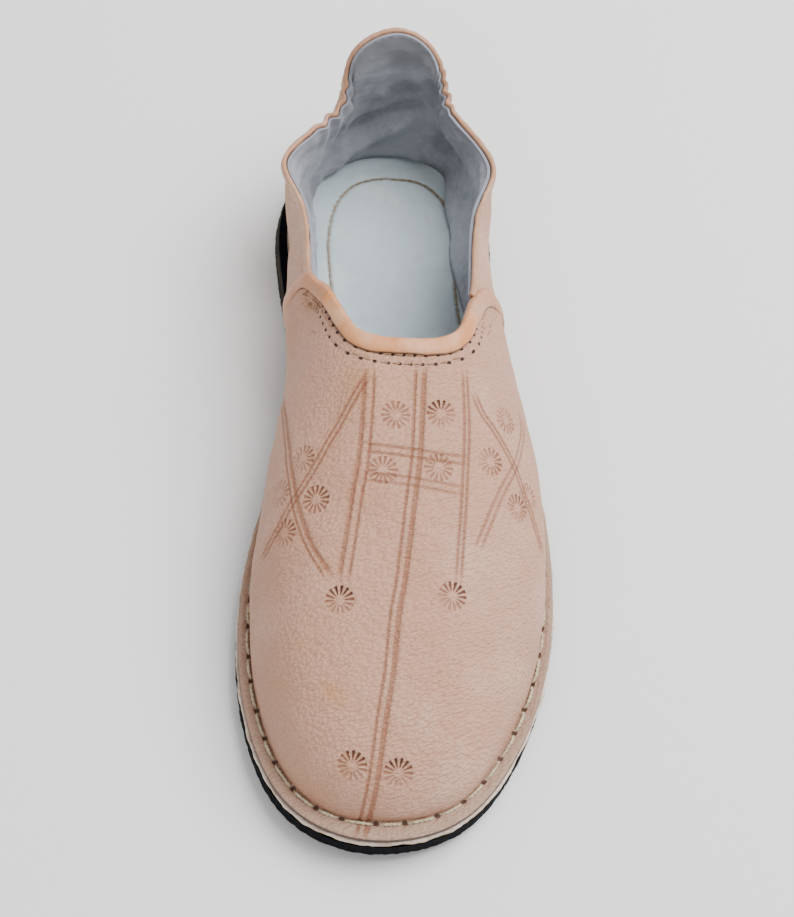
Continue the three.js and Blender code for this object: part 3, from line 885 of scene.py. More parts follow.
@dataclass(frozen=True)
class TanLeather:
    """Vegetable-tanned goat leather, undyed and hand tooled.

    It is pinkish beige with a fine wrinkled grain, dry rather than glossy, and burns to a warm
    brown where a hot tool or stamp has pressed it.
    """

    base: str = "#c4977f"
    pale: str = "#d0a892"
    flushed: str = "#b98468"
    burnt: str = "#874b2c"
    # Dark colour of the deepest stamp burns and of the edge's cut, also painted as shade inside the holes
    # and in the cut's shadow.
    char_and_shade: str = "#2e1710"
    # Painted shade inside the cord's holes.
    cord_hole_shade: str = "#4d3324"
    sewn_edge: str = "#8b7b6c"
    stain: str = "#bd7f3f"
    # Colour of painted shade along the wall's foot, under the throat binding, in the needle rows and over
    # the inner side, with some soil at the wall's foot.
    shade_and_soil: str = "#6d4a38"
    grain: float = 1.15
    line_reach: float = 0.6
    spokes: int = 14
    needle_pitch: float = 3.5
    needle_depths: tuple[float, float] = (6.1, 9.3)
    needle_radius: float = 0.66
    cord_pitch: float = 10.2

    def build(self, name: str) -> bpy.types.Material:
        """Makes the material: grain, flush, stains, tooled lines, stamps, needle holes painted dark as
        shade, and painted shade with some soil.
        """
        finish = Finish(name, self.base)
        finish.tint(finish.clouds(46, 2, 0.5, 0.72), self.pale)
        finish.tint(finish.clouds(30, 3, 0.5, 0.75), self.flushed, 0.5)
        wrinkle = finish.cells(self.grain, "F1", (1.7, 0.75, 1), -0.45)
        finish.tint(finish.ramp(wrinkle, 0.35, 0.85), self.flushed, 0.5)
        finish.tint(finish.clouds(4.5, 4, 0.45, 0.75), self.flushed, 0.25)
        finish.raise_by(wrinkle, -0.52)
        finish.raise_by(finish.noise(0.5, 3), 0.08)
        finish.raise_by(finish.noise(5, 3), 0.35)
        marks = finish.attribute("marks")
        finish.tint(marks[0], self.stain, 0.5)
        # Painted shade, with some soil along the wall's foot.
        finish.tint(marks[1], self.shade_and_soil, 0.8)
        finish.tint(finish.ramp(marks[2], 0, 0.5), self.sewn_edge, 0.55)
        # Cut face of the turned-out edge: its own dark cut, with painted shadow where it meets the midsole.
        finish.tint(finish.ramp(marks[2], 0.5, 1), self.char_and_shade, 0.65)
        ribs = finish.noise(0.42, 2)
        for family in TOOL_FAMILIES:
            self._lay_lines(finish, finish.attribute(family), ribs)
        self._lay_stamps(finish, finish.attribute("stamp"))
        self._pierce(finish)
        return finish.close(0.58, 1, Specular_IOR_Level=0.4)

    def _lay_lines(self, finish: Finish, line: tuple, ribs: object) -> None:
        """Burns the lines of one family, ribbed across as a wheel leaves them."""
        rolled = finish.math("SINE", finish.times(line[2], 2 * math.pi / 0.9))
        frayed = finish.math("MULTIPLY_ADD", ribs, 0.95, -0.45)
        away = finish.math("ADD", finish.math("ABSOLUTE", line[0]), frayed)
        away = finish.math("MULTIPLY_ADD", rolled, 0.07, away)
        core = finish.times(finish.ramp(away, self.line_reach, 0.3), line[1])
        halo = finish.times(finish.ramp(away, 1.5, 0.3), line[1])
        finish.tint(halo, self.burnt, 0.14)
        finish.tint(core, self.burnt, 0.62)
        finish.raise_by(core, -0.2)

    def _pierce(self, finish: Finish) -> None:
        """Makes the holes of the throat's double seam and of the edge cord, painted dark as the shade
        inside them.
        """
        seam = finish.attribute("needle")
        total: object = 0.0
        for row, level in enumerate(self.needle_depths):
            moved = finish.math("ADD", seam[0], 0.3 * row * self.needle_pitch)
            along = finish.math("PINGPONG", moved, self.needle_pitch / 2)
            across = finish.math("SUBTRACT", seam[1], level)
            hole = finish.ramp(finish.length(across, along), self.needle_radius, 0.42)
            total = finish.math("MAXIMUM", total, finish.times(hole, seam[2]))
        cord = finish.attribute("feather")
        along = finish.times(finish.math("PINGPONG", cord[0], 0.5), self.cord_pitch * 0.62)
        across = finish.math("SUBTRACT", cord[1], 0.8)
        hole = finish.ramp(finish.length(across, along), 0.85, 0.5)
        cut = finish.times(hole, cord[2])
        # Cord holes painted dark as the shade inside them.
        finish.tint(cut, self.cord_hole_shade, 0.85)
        total = finish.math("MAXIMUM", total, finish.times(cut, 0.3))
        # Needle and cord holes painted dark as the shade inside them.
        finish.tint(total, self.char_and_shade)
        finish.raise_by(total, -0.5)

    def _lay_stamps(self, finish: Finish, stamp: tuple) -> None:
        """Presses the rosette stamps: a ring of wedges round a plain middle."""
        radius = finish.length(stamp[1], stamp[0])
        angle = finish.math("ARCTAN2", stamp[1], stamp[0])
        wave = finish.math("COSINE", finish.times(angle, float(self.spokes)))
        ring = finish.times(finish.ramp(radius, 1.2, 2.3), finish.ramp(radius, 5.05, 4.7))
        wedge = finish.times(finish.ramp(wave, -0.15, 0.5), ring)
        pressed = finish.times(wedge, stamp[2])
        finish.tint(pressed, self.burnt, 0.78)
        # The side pressed deepest is darker: a deeper burn, with painted shade in the deeper wedges.
        deep = finish.times(pressed, finish.ramp(stamp[2], 0.75, 1.35))
        finish.tint(deep, self.char_and_shade, 0.55)
        finish.raise_by(pressed, -0.3)


@dataclass(frozen=True)
class BindingLeather:
    """Thin lining calf folded over the rims, smooth, peach coloured and a little polished."""

    base: str = "#d38c58"
    rubbed: str = "#dba680"
    worn: str = "#b37149"
    dull: str = "#a57f6b"
    # Painted shade where the strip meets the leather and where its joints lap.
    crevice_shade: str = "#3f281d"

    def build(self, name: str) -> bpy.types.Material:
        """Makes the material: soft colour change, fine creases, rubbed high spots, and painted shade at the
        joints and where the strip meets the leather.
        """
        finish = Finish(name, self.base)
        finish.tint(finish.clouds(14, 3, 0.45, 0.7), self.rubbed)
        finish.tint(finish.clouds(3, 4, 0.5, 0.75), self.worn, 0.35)
        marks = finish.attribute("marks")
        finish.tint(marks[1], self.dull, 0.45)
        # Painted shade at the strip's joints, where one piece laps over the next.
        lapped = finish.times(finish.ramp(marks[1], 0.2, 0.5), finish.ramp(marks[1], 0.8, 0.5))
        finish.tint(lapped, self.crevice_shade, 0.6)
        # Painted shade where the strip's edges press against the leather.
        finish.tint(marks[0], self.crevice_shade, 0.9)
        finish.raise_by(finish.noise(1.1, 3), 0.12)
        finish.raise_by(finish.noise(0.35, 2), 0.03)
        return finish.close(0.44, 0.7, Specular_IOR_Level=0.48)


@dataclass(frozen=True)
class SuedeLining:
    """Split leather dyed blue-grey, flesh side in: matt, with a soft mottled nap."""

    base: str = "#a9acb5"
    dark: str = "#8a8c92"
    light: str = "#c0c4cf"
    # Painted shade over the heel's back wall, and a darker grey up the tab.
    back_shade_and_tab_tone: str = "#6f7176"
    # Darker grey painted on the upward-facing cut edge as shade, toning down the light it catches.
    rim: str = "#8b8e98"
    shadow: str = "#2f3035"

    def build(self, name: str) -> bpy.types.Material:
        """Makes the material: cloudy nap, brushed streaks, painted shade over the back wall, along the foot
        and in the folds, a darker tab, and a cut edge darkened as painted shade.
        """
        finish = Finish(name, self.base)
        finish.tint(finish.clouds(17, 4, 0.42, 0.68), self.dark)
        finish.tint(finish.clouds(2.4, 4, 0.45, 0.75), self.light, 0.5)
        finish.tint(finish.clouds(0.5, 2, 0.5, 0.7), self.dark, 0.3)
        marks = finish.attribute("marks")
        # Painted shade over the back wall, and a darker tab.
        finish.tint(marks[2], self.back_shade_and_tab_tone)
        # Painted shade on the cut edge.
        finish.tint(marks[0], self.rim, 0.85)
        finish.tint(marks[1], self.shadow, 0.8)
        finish.raise_by(finish.noise(0.45, 3), 0.16)
        finish.raise_by(finish.noise(3, 3), 0.25)
        return finish.close(0.95, 0.8, Specular_IOR_Level=0.15, Sheen_Weight=0.25, Sheen_Roughness=0.5)


@dataclass(frozen=True)
class InsoleLeather:
    """Thin lining leather dyed pale blue-grey, smooth and matt, with a brown stitched groove."""

    base: str = "#b4c1c6"
    pale: str = "#c1cbce"
    groove: str = "#7d6f5b"
    worn: str = "#a2a9aa"
    speck: str = "#8f7f7c"

    def build(self, name: str) -> bpy.types.Material:
        """Makes the material: faint clouds, fine pores, specks and the darkened groove."""
        finish = Finish(name, self.base)
        finish.tint(finish.clouds(24, 3, 0.45, 0.7), self.pale)
        finish.tint(finish.clouds(5, 4, 0.5, 0.75), self.worn, 0.35)
        finish.tint(finish.clouds(1.3, 2, 0.68, 0.8), self.speck, 0.4)
        groove = finish.attribute("marks")
        finish.tint(groove[0], self.groove, 0.75)
        finish.raise_by(finish.noise(0.8, 3), 0.05)
        return finish.close(0.72, 0.8, Specular_IOR_Level=0.3)


@dataclass(frozen=True)
class SoleLeather:
    """Thin sole split between upper and rubber, cut raw: pinkish white with a line of dried glue."""

    base: str = "#e2d0c2"
    glue: str = "#b89a55"
    patch: str = "#c3aa9b"
    fibre: str = "#8f7365"

    def build(self, name: str) -> bpy.types.Material:
        """Makes the material: fibrous cut edge and yellowed glue at its lower rim."""
        finish = Finish(name, self.base)
        finish.tint(finish.clouds(7, 3, 0.45, 0.7), self.patch)
        fibre = finish.noise(0.5, 3, (3, 3, 0.6))
        finish.tint(finish.ramp(fibre, 0.45, 0.7), self.fibre, 0.4)
        glue = finish.attribute("marks")
        finish.tint(finish.times(glue[0], finish.clouds(3, 3, 0.4, 0.55)), self.glue)
        finish.raise_by(fibre, 0.15)
        return finish.close(0.8, 0.8, Specular_IOR_Level=0.25)


@dataclass(frozen=True)
class SoleRubber:
    """Black rubber sheet cut by knife: blue-black, finely pitted, grey-brown where it is scuffed."""

    base: str = "#04050b"
    scuffed: str = "#4d463d"
    grey: str = "#101119"

    def build(self, name: str) -> bpy.types.Material:
        """Makes the material: knife marks along the cut, pits and a dusty heel."""
        finish = Finish(name, self.base)
        finish.tint(finish.clouds(2.2, 4, 0.5, 0.75), self.grey, 0.35)
        marks = finish.attribute("marks")
        streak = finish.noise(1.0, 4, (9, 9, 0.28))
        dusty = finish.times(marks[0], finish.ramp(streak, 0.3, 0.62))
        finish.tint(dusty, self.scuffed)
        finish.raise_by(streak, 0.22)
        finish.raise_by(finish.noise(0.7, 3), 0.12)
        return finish.close(0.9, 0.9, Specular_IOR_Level=0.1)


@dataclass(frozen=True)
class WaxedCord:
    """Twisted linen or cotton thread drawn through wax, so it is matt with a faint gloss."""

    base: str = "#cbbca0"
    shade: str = "#8a7456"

    def build(self, name: str) -> bpy.types.Material:
        """Makes the material: uneven colour and fine fibres."""
        finish = Finish(name, self.base)
        finish.tint(finish.clouds(2.5, 3, 0.48, 0.72), self.shade, 0.6)
        finish.raise_by(finish.noise(0.3, 2), 0.08)
        return finish.close(0.7, 0.6, Specular_IOR_Level=0.35)


class Side(Enum):
    """Which lines of a pair the tool pressed broad and which narrow."""

    EVEN = (1.0, 1.0)
    RIGHT_BROAD = (1.0, 0.55)
    LEFT_BROAD = (0.6, 1.0)


@dataclass(frozen=True)
class ToolPair:
    """Two tooled lines side by side, charted by the pixels of the photograph that they pass."""

    name: str
    family: str
    pixels: tuple[tuple[float, float], ...]
    spacing: float
    strength: float = 1
    side: Side = Side.EVEN


@dataclass(frozen=True)
class Stamp:
    """One rosette, charted by its middle pixel; tilt is the direction pressed deepest."""

    pixel: tuple[float, float]
    strength: float = 0.8
    tilt: tuple[float, float] = (0, 0.4)


@dataclass(frozen=True)
class Blot:
    """A soft stain, charted by its middle pixel, with its radius in millimetres."""

    pixel: tuple[float, float]
    radius: float
    strength: float


@dataclass
class Tooling:
    """Everything pressed into or spilt on the leather, found on the wall along the photo's rays."""

    last: Last
    camera: PhotoCamera
    stamp_radius: float = 4.95
    pairs: tuple[ToolPair, ...] = (
        ToolPair(
            "centre",
            "tooled_long",
            ((618.5, 368), (614.7, 449), (609.5, 493), (604, 538), (598.5, 582), (592.5, 616),
             (587, 672), (580, 716), (570.5, 783), (561.5, 824), (557.5, 838)),
            2.9,
            1,
            Side.RIGHT_BROAD,
        ),
        ToolPair(
            "inner ray",
            "tooled_long",
            ((567, 372), (566, 404), (561, 460), (555, 493), (548, 538), (541.5, 578)),
            3.2,
            0.95,
            Side.LEFT_BROAD,
        ),
        ToolPair(
            "outer ray",
            "tooled_long",
            ((664.4, 372), (665.3, 426), (663, 493), (660, 538), (657.5, 580)),
            1.75,
            0.85,
        ),
        ToolPair("upper bar", "tooled_bars", ((562, 447), (612, 453), (664, 460.5)), 2.6, 0.85),
        ToolPair("lower bar", "tooled_bars", ((562, 476), (612, 482), (660, 490.5)), 2.6, 0.75),
        ToolPair(
            "inner cross, forwards",
            "tooled_bars",
            ((564, 377), (547, 405), (530, 435), (510, 470), (490, 502), (473, 533), (459, 560)),
            1.9,
            0.9,
        ),
        ToolPair(
            "outer cross, forwards",
            "tooled_bars",
            ((673, 393), (682, 414), (693, 431), (713.5, 467), (729, 508), (742, 553)),
            1.8,
            0.9,
        ),
        ToolPair(
            "inner cross, backwards",
            "tooled_cross",
            ((481, 402), (484, 440), (487, 471), (492.5, 505), (504, 541), (525, 576)),
            2.2,
            0.9,
            Side.RIGHT_BROAD,
        ),
        ToolPair(
            "outer cross, backwards",
            "tooled_cross",
            ((721, 415), (722, 440), (714.5, 466), (698, 498), (683, 533), (677, 549)),
            2.2,
            0.75,
        ),
    )
    stamps: tuple[Stamp, ...] = (
        Stamp((593.5, 415), 0.75, (-0.1, 0.1)),
        Stamp((639.5, 413.5), 0.8, (-0.3, 0.6)),
        Stamp((580.5, 470), 0.78, (0, 0.1)),
        Stamp((637, 467.5), 0.72, (0, 0.1)),
        Stamp((537, 600), 0.95, (0.15, 0.55)),
        Stamp((651, 596.5), 0.9, (0.3, 0.4)),
        Stamp((549.5, 766), 0.85, (0.25, 0.55)),
        Stamp((596.5, 774), 0.9, (0, 0.7)),
        Stamp((500, 459), 0.6, (0.6, 0.2)),
        Stamp((513, 499), 0.95, (0.1, 0.1)),
        Stamp((477, 494), 0.45, (0.7, 0)),
        Stamp((481.5, 533), 0.7, (0.5, 0.2)),
        Stamp((704.5, 420), 0.6, (0.2, -0.3)),
        Stamp((689, 462), 0.65, (0.5, 0.1)),
        Stamp((729.5, 497), 0.55, (0, 0.3)),
        Stamp((717, 508.5), 0.75, (0.2, 0.4)),
    )
    blots: tuple[Blot, ...] = (
        Blot((531, 692), 4.5, 0.8),
        Blot((545, 765), 3, 0.45),
        Blot((500, 640), 11, 0.2),
        Blot((508, 300), 6, 0.5),
        Blot((560, 380), 7, 0.45),
        Blot((600, 385), 8, 0.25),
        Blot((486, 330), 8, 0.45),
        Blot((470, 690), 12, 0.28),
        Blot((500, 770), 10, 0.2),
        Blot((524, 565), 3, 0.5),
    )

    def __post_init__(self) -> None:
        """Makes the surface that the rays meet and charts every line and stamp on it."""
        turns = np.linspace(0, self.last.count, 420)
        shares = np.linspace(0, 1, 90)
        grid = self.last.wall(turns[:, None], shares[None, :])
        reach = np.linspace(0, 1, 5)[None, :] * self.last.edge_width(turns)[:, None]
        flange = self.last.rim(turns[:, None], -reach, self.last.edge_top)[:, :-1]
        sheet = np.concatenate([flange, grid], 1)
        columns, rows = sheet.shape[:2]
        faces = []
        for column in range(columns - 1):
            for row in range(rows - 1):
                a = column * rows + row
                faces.append((a, a + rows, a + rows + 1, a + 1))
        self.sheet = BVHTree.FromPolygons(sheet.reshape(-1, 3).tolist(), faces)
        self.families: dict[str, tuple[KDTree, np.ndarray]] = {}
        for family in TOOL_FAMILIES:
            self.families[family] = self._chart([p for p in self.pairs if p.family == family])
        self.middles = self.on_wall([stamp.pixel for stamp in self.stamps])
        self.spots = self.on_wall([blot.pixel for blot in self.blots])

    def on_wall(self, pixels: Sequence[tuple[float, float]]) -> np.ndarray:
        """Places where the rays of pixels meet the leather, with the surface's direction.

        Args:
            pixels: Places in the photograph.

        Returns:
            Two rows of three for each pixel that meets the leather: place and normal.
        """
        found = []
        origin = Vector(self.camera.place)
        for ray in self.camera.rays(np.asarray(pixels, float)):
            place, normal, _, _ = self.sheet.ray_cast(origin, Vector(ray))
            if place is not None:
                out = normal if normal.dot(Vector(ray)) < 0 else -normal
                found.append((tuple(place), tuple(out)))
        return np.array(found)

    def _chart(self, pairs: list[ToolPair]) -> tuple[KDTree, np.ndarray]:
        """Lays pairs of lines on the wall as close rows of points.

        Returns:
            A search tree of the points, and for each the place, the direction to the right,
            half the spacing, the strength, the distance run and the two breadths.
        """
        rows = []
        for pair in pairs:
            found = self.on_wall(through(pair.pixels, 0.8))
            places, normals = found[:, 0], found[:, 1]
            run = cumulative(places)
            ahead = unit(np.gradient(places, axis=0))
            right = unit(np.cross(normals, ahead))
            fade = smooth_step(0, 3, run) * smooth_step(0, 3, run[-1] - run)
            count = len(places)
            breadths = np.tile(pair.side.value, (count, 1))
            half = np.full((count, 1), pair.spacing / 2)
            strength = (pair.strength * (0.35 + 0.65 * fade))[:, None]
            rows.append(np.hstack([places, right, half, strength, run[:, None], breadths]))
        table = np.vstack(rows)
        return search_tree(table[:, :3]), table

    def lines(self, family: str, points: np.ndarray) -> np.ndarray:
        """Distance to the nearest line of a family, its strength and the distance run along it."""
        tree, table = self.families[family]
        found = np.empty((len(points), 2))
        for row, point in enumerate(points):
            _, index, distance = tree.find(Vector(point))
            found[row] = index, distance
        near = table[found[:, 0].astype(int)]
        offset = points - near[:, :3]
        across = np.einsum("ij,ij->i", offset, near[:, 3:6])
        beyond = np.sqrt(np.maximum(found[:, 1] ** 2 - across**2, 0))
        breadth = np.where(across < 0, near[:, 9], near[:, 10])
        gap = (np.abs(across) - near[:, 6]) * breadth
        gap = np.where(found[:, 1] > 5, 3, gap)
        strength = near[:, 7] * smooth_step(1.6, 0.6, beyond)
        return np.stack([np.clip(gap, -3, 3), strength, near[:, 8]], -1)

    def stamp_places(self, points: np.ndarray) -> np.ndarray:
        """Place inside the nearest stamp, across and up, and how deeply it is pressed there."""
        away = np.linalg.norm(points[:, None] - self.middles[None, :, 0], axis=-1)
        nearest = away.argmin(1)
        middle, normal = self.middles[nearest, 0], self.middles[nearest, 1]
        up = unit(np.array([0, 1, 0]) - normal * normal[:, 1:2])
        right = np.cross(up, normal)
        offset = points - middle
        u = np.einsum("ij,ij->i", offset, right)
        v = np.einsum("ij,ij->i", offset, up)
        tilt = np.array([stamp.tilt for stamp in self.stamps])[nearest]
        strength = np.array([stamp.strength for stamp in self.stamps])[nearest]
        lean = (u * tilt[:, 0] + v * tilt[:, 1]) / self.stamp_radius
        pressed = np.clip(strength * (1 + lean), 0, 1.5) * (away.min(1) < self.stamp_radius + 1.2)
        return np.stack([u, v, pressed], -1)

    def stains(self, points: np.ndarray) -> np.ndarray:
        """How strongly the leather is stained."""
        total = np.zeros(len(points))
        for blot, spot in zip(self.blots, self.spots):
            away = np.linalg.norm(points - spot[0], axis=-1)
            uneven = 1 + 0.3 * lumps(points, 7, 11)
            total = np.maximum(total, blot.strength * bell(away / blot.radius, 1) * uneven)
        return np.clip(total, 0, 1)

    def depth(self, attributes: dict[str, np.ndarray], spokes: int) -> np.ndarray:
        """How far the tools have pressed the leather in."""
        total = np.zeros(len(attributes["stamp"]))
        for family in self.families:
            line = attributes[family]
            total = np.maximum(total, 0.26 * bell(line[:, 0], 0.45) * line[:, 1])
        u, v, pressed = attributes["stamp"].T
        radius = np.hypot(u, v)
        wedge = smooth_step(-0.3, 0.5, np.cos(spokes * np.arctan2(v, u)))
        ring = smooth_step(1.2, 2.2, radius) * smooth_step(self.stamp_radius, 4.5, radius)
        return np.maximum(total, 0.32 * wedge * ring * pressed)


class Plane(Enum):
    """The plane that a crease is drawn in, as the numbers of its two axes."""

    PLAN = (0, 1)
    BACK = (0, 2)
    SIDE = (1, 2)


@dataclass(frozen=True)
class Crease:
    """A soft trough (negative) or ridge along a line in one plane, in millimetres."""

    start: tuple[float, float]
    end: tuple[float, float]
    width: float
    height: float
    plane: Plane = Plane.PLAN
    side: int = 0

    def lift(self, points: np.ndarray) -> np.ndarray:
        """Height of the crease at each point."""
        start, end = np.array(self.start), np.array(self.end)
        along = end - start
        length = np.linalg.norm(along)
        offset = points[..., list(self.plane.value)] - start
        run = offset @ along / length
        away = (offset[..., 0] * along[1] - offset[..., 1] * along[0]) / length
        ends = smooth_step(-0.25 * length, 0.2 * length, run)
        ends = ends * smooth_step(1.25 * length, 0.8 * length, run)
        if self.plane is Plane.BACK:
            ends = ends * smooth_step(95, 112, points[..., 1])
        if self.side:
            ends = ends * smooth_step(0, 12, self.side * points[..., 0])
        return self.height * bell(away, self.width) * ends


VAMP_CREASES = (
    Crease((-16, 12), (-27, -12), 5, -0.7),
    Crease((-25, 24), (-36, 6), 5, 0.5),
    Crease((-31, 40), (-38, 12), 4, -0.6),
    Crease((20, 14), (30, -10), 5, -0.5),
    Crease((34, 44), (42, 18), 4, -0.6),
    Crease((-6, 8), (-9, -20), 8, 0.35),
    Crease((-30, -60), (28, -66), 12, -0.3),
    Crease((-40, -30), (-10, -48), 9, -0.25),
)
QUARTER_CREASES = (
    Crease((-37, 104), (-35, 78), 3, -1.1),
    Crease((-41, 92), (-39, 62), 2.4, 0.8),
    Crease((39, 88), (38, 58), 2.8, -1),
    Crease((37, 106), (41, 90), 2.6, 0.7),
)


@dataclass
class Leather:
    """The tooled vamp and the plain quarter, each with its share of the turned-out edge."""

    last: Last
    tooling: Tooling
    finish: TanLeather = TanLeather()
    vamp_thickness: float = 1.15
    quarter_thickness: float = 1.05
    vamp_columns: int = 466
    vamp_rows: int = 186
    flange_rows: int = 9
    inner_rows: int = 8

    def build(self) -> list[bpy.types.Object]:
        """Makes both leathers."""
        self.material = self.finish.build("tan_goat_leather_tooled")
        self.cord_turns = self._cord_holes()
        self.path = self.last.vamp_path()
        self.bound_edge = self.last.wall(self.path[:, 0], self.path[:, 1])
        vamp = self._vamp()
        quarter = self._quarter()
        for piece in (vamp, quarter):
            piece.data.materials.append(self.material)
            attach(piece, "root")
            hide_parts("upper")
        return [vamp, quarter]

    def _cord_holes(self) -> np.ndarray:
        """Section numbers of the cord's holes along the feather line, all the way round."""
        samples = np.linspace(0, self.last.count, 4000)
        along = cumulative(self.feather(samples))
        count = round(along[-1] / self.finish.cord_pitch)
        random = np.random.default_rng(5)
        marks = (np.arange(count) + random.uniform(-0.07, 0.07, count) + 0.5) * along[-1] / count
        return np.interp(marks, along, samples)

    def feather(self, turn: np.ndarray) -> np.ndarray:
        """The crease between wall and turned-out edge."""
        return self.last.rim(turn, -self.last.edge_width(turn), self.last.edge_top)

    def _section(
        self,
        turns: np.ndarray,
        rows: int,
        outside: float,
        thickness: float,
        low: np.ndarray,
        rim_depth: float,
        limit: np.ndarray,
    ) -> tuple[np.ndarray, np.ndarray]:
        """Rings of a leather: edge, outside, inside, underside and cut of the edge.

        Args:
            turns: Section numbers of the rings.
            rows: Points up the outside.
            outside: Distance of the leather's face outside the wall.
            thickness: Thickness of the leather.
            low: How far the turned-out edge is lowered at each ring.
            rim_depth: Distance of the leather's rim below the topline.
            limit: Highest share that each ring may reach.

        Returns:
            The rings and the shares of their outside points.
        """
        last = self.last
        tuck = last.edge_tuck(turns)[:, None]
        width = last.edge_width(turns)[:, None]
        columns = turns[:, None]
        inwards = np.linspace(0, 1, self.flange_rows, endpoint=False)[None, :]
        rolled = 0.3 * bell(inwards - 0.2, 0.2) - 0.35 * smooth_step(0.6, 1, inwards)
        heights = last.edge_top + rolled - low[:, None]
        flange = last.rim(columns, -tuck - 0.2 - inwards * (width - tuck - 0.2), heights)
        top_share = np.minimum(last.share_below_top(turns, rim_depth), limit)
        shares = last.even_shares(turns, rows, top_share)
        wall = last.skin(columns, shares, outside)
        inner_shares = np.linspace(top_share, 0.05, self.inner_rows).T
        inner = last.skin(columns, inner_shares, outside - thickness)
        seat = (last.upper_seat - low)[:, None]
        feet = last.rim(columns, -width + np.array([[-1.2, 0]]), seat)
        cut = last.rim(columns, -tuck, seat + np.array([[0, 0.7, 1.4]]))
        return np.concatenate([flange, wall, inner, feet, cut], 1), shares

    def _press(
        self, points: np.ndarray, turns: np.ndarray, shares: np.ndarray, creases: Sequence[Crease]
    ) -> tuple[np.ndarray, dict[str, np.ndarray]]:
        """Works out the tooling, creases and holes of a leather's outside points.

        Args:
            points: The outside points: ring, point, coordinate.
            turns: Section numbers of the rings.
            shares: Shares of the outside points up the wall, negative on the turned-out edge.
            creases: Soft troughs and ridges of this leather.

        Returns:
            How far each point moves outwards, and the attributes there.
        """
        flat = points.reshape(-1, 3)
        attributes = {family: self.tooling.lines(family, flat) for family in self.tooling.families}
        attributes["stamp"] = self.tooling.stamp_places(flat)
        lift = -self.tooling.depth(attributes, self.finish.spokes)
        for crease in creases:
            lift += crease.lift(flat)
        lift += 0.22 * lumps(flat, 26, 3) + 0.09 * lumps(flat, 11, 4)
        ring = np.repeat(turns, points.shape[1])
        rise = np.linalg.norm(flat - self.feather(ring), axis=-1)
        on_flange = shares.ravel() < 0
        holes = np.concatenate([self.cord_turns, self.cord_turns + self.last.count])
        phase = np.interp(ring, holes, np.arange(len(holes)))
        near_hole = np.abs(phase - np.round(phase)) * self.finish.cord_pitch
        signed = np.where(on_flange, rise, -rise)
        deep = smooth_step(3, 2, rise)
        attributes["feather"] = np.stack([phase, np.clip(signed, -4, 4), deep], -1)
        lift -= 0.5 * bell(np.hypot(near_hole * 0.7, signed - 0.6), 1.3) + 0.12 * bell(rise, 1.1)
        run, depth, seen = self._seam_places(flat, ring)
        attributes["needle"] = np.stack([run, depth, seen], -1)
        seam = bell(depth - 5.55, 0.4) * smooth_step(0.28, 0.6, seen)
        row = sum(bell(depth - level, 0.7) for level in self.finish.needle_depths)
        lift -= 0.3 * seam + 0.22 * row * seen
        # Painted shade in the crease at the wall's foot (with some soil there), under the throat binding's
        # lower edge and along the sunk needle rows.
        shade_and_soil = 0.2 * bell(rise, 0.7) + 0.08 * bell(rise, 4) + 0.9 * seam + 0.12 * row * seen
        # Painted shade over the inner side, which the light leaves darker.
        shade_and_soil = shade_and_soil + 0.13 * smooth_step(-24, -48, flat[:, 0]) * np.where(on_flange, 0.4, 1)
        marks = [self.tooling.stains(flat), np.clip(shade_and_soil, 0, 1), np.where(on_flange, 0.5, 0)]
        attributes["marks"] = np.stack(marks, -1)
        return lift, attributes

    def _seam_places(
        self, flat: np.ndarray, ring: np.ndarray
    ) -> tuple[np.ndarray, np.ndarray, np.ndarray]:
        """Place of each point against the vamp's bound edge.

        Args:
            flat: The points.
            ring: Their section numbers.

        Returns:
            Distance run along the edge, distance in from it, and how clearly the seam shows.
        """
        last = self.last
        edge = self.bound_edge
        along = cumulative(edge)
        tree = search_tree(edge)
        run = np.zeros(len(flat))
        depth = np.full(len(flat), 40.0)
        inside = (ring > last.wing_inner) & (ring < last.wing_outer)
        close = np.linalg.norm(flat - last.top(ring), axis=-1) < 24
        for index in np.flatnonzero(inside & close):
            _, nearest, distance = tree.find(Vector(flat[index]))
            run[index] = along[nearest]
            depth[index] = distance
        ahead = np.gradient(edge, axis=0) / np.gradient(along)[:, None]
        nearest = np.clip(np.searchsorted(along, run), 0, len(edge) - 1)
        slip = np.einsum("ij,ij->i", flat - edge[nearest], ahead[nearest])
        run = np.where(depth < 30, run + np.clip(slip, -0.4, 0.4), 0)
        middle = along[-1] / 2
        fade = smooth_step(46, 30, np.abs(run - middle))
        on_front = smooth_step(last.wing_inner + 0.4, last.wing_inner + 0.8, ring)
        on_front = on_front * smooth_step(last.wing_outer - 0.8, last.wing_outer - 1.2, ring)
        seen = np.where(depth < 14, 0.3 + 0.7 * fade, 0) * on_front
        return run, depth, seen

    def _finish(
        self,
        name: str,
        rings: np.ndarray,
        turns: np.ndarray,
        shares: np.ndarray,
        creases: Sequence[Crease],
    ) -> bpy.types.Object:
        """Presses the outside of the rings and makes the piece."""
        flange = self.flange_rows
        outside = flange + shares.shape[1]
        on_edge = np.full((len(turns), flange), -1.0)
        all_shares = np.concatenate([on_edge, shares], 1)
        faces_out = rings[:, :outside].copy()
        lift, attributes = self._press(faces_out, turns, all_shares, creases)
        lift = lift.reshape(faces_out.shape[:2])
        normals = np.empty_like(faces_out)
        normals[:, flange:] = self.last.normal(turns[:, None], shares)
        normals[:, :flange] = (0, 0, 1)
        lift[:, :flange] *= smooth_step(0, 0.4, np.linspace(0, 1, flange))[None, :]
        rings[:, :outside] = faces_out + normals * lift[..., None]
        filled = {}
        for title, values in attributes.items():
            full = np.zeros((*rings.shape[:2], 3))
            full[..., 0] = 3 if title.startswith("tooled") else 0
            full[:, :outside] = values.reshape(*faces_out.shape)
            filled[title] = full
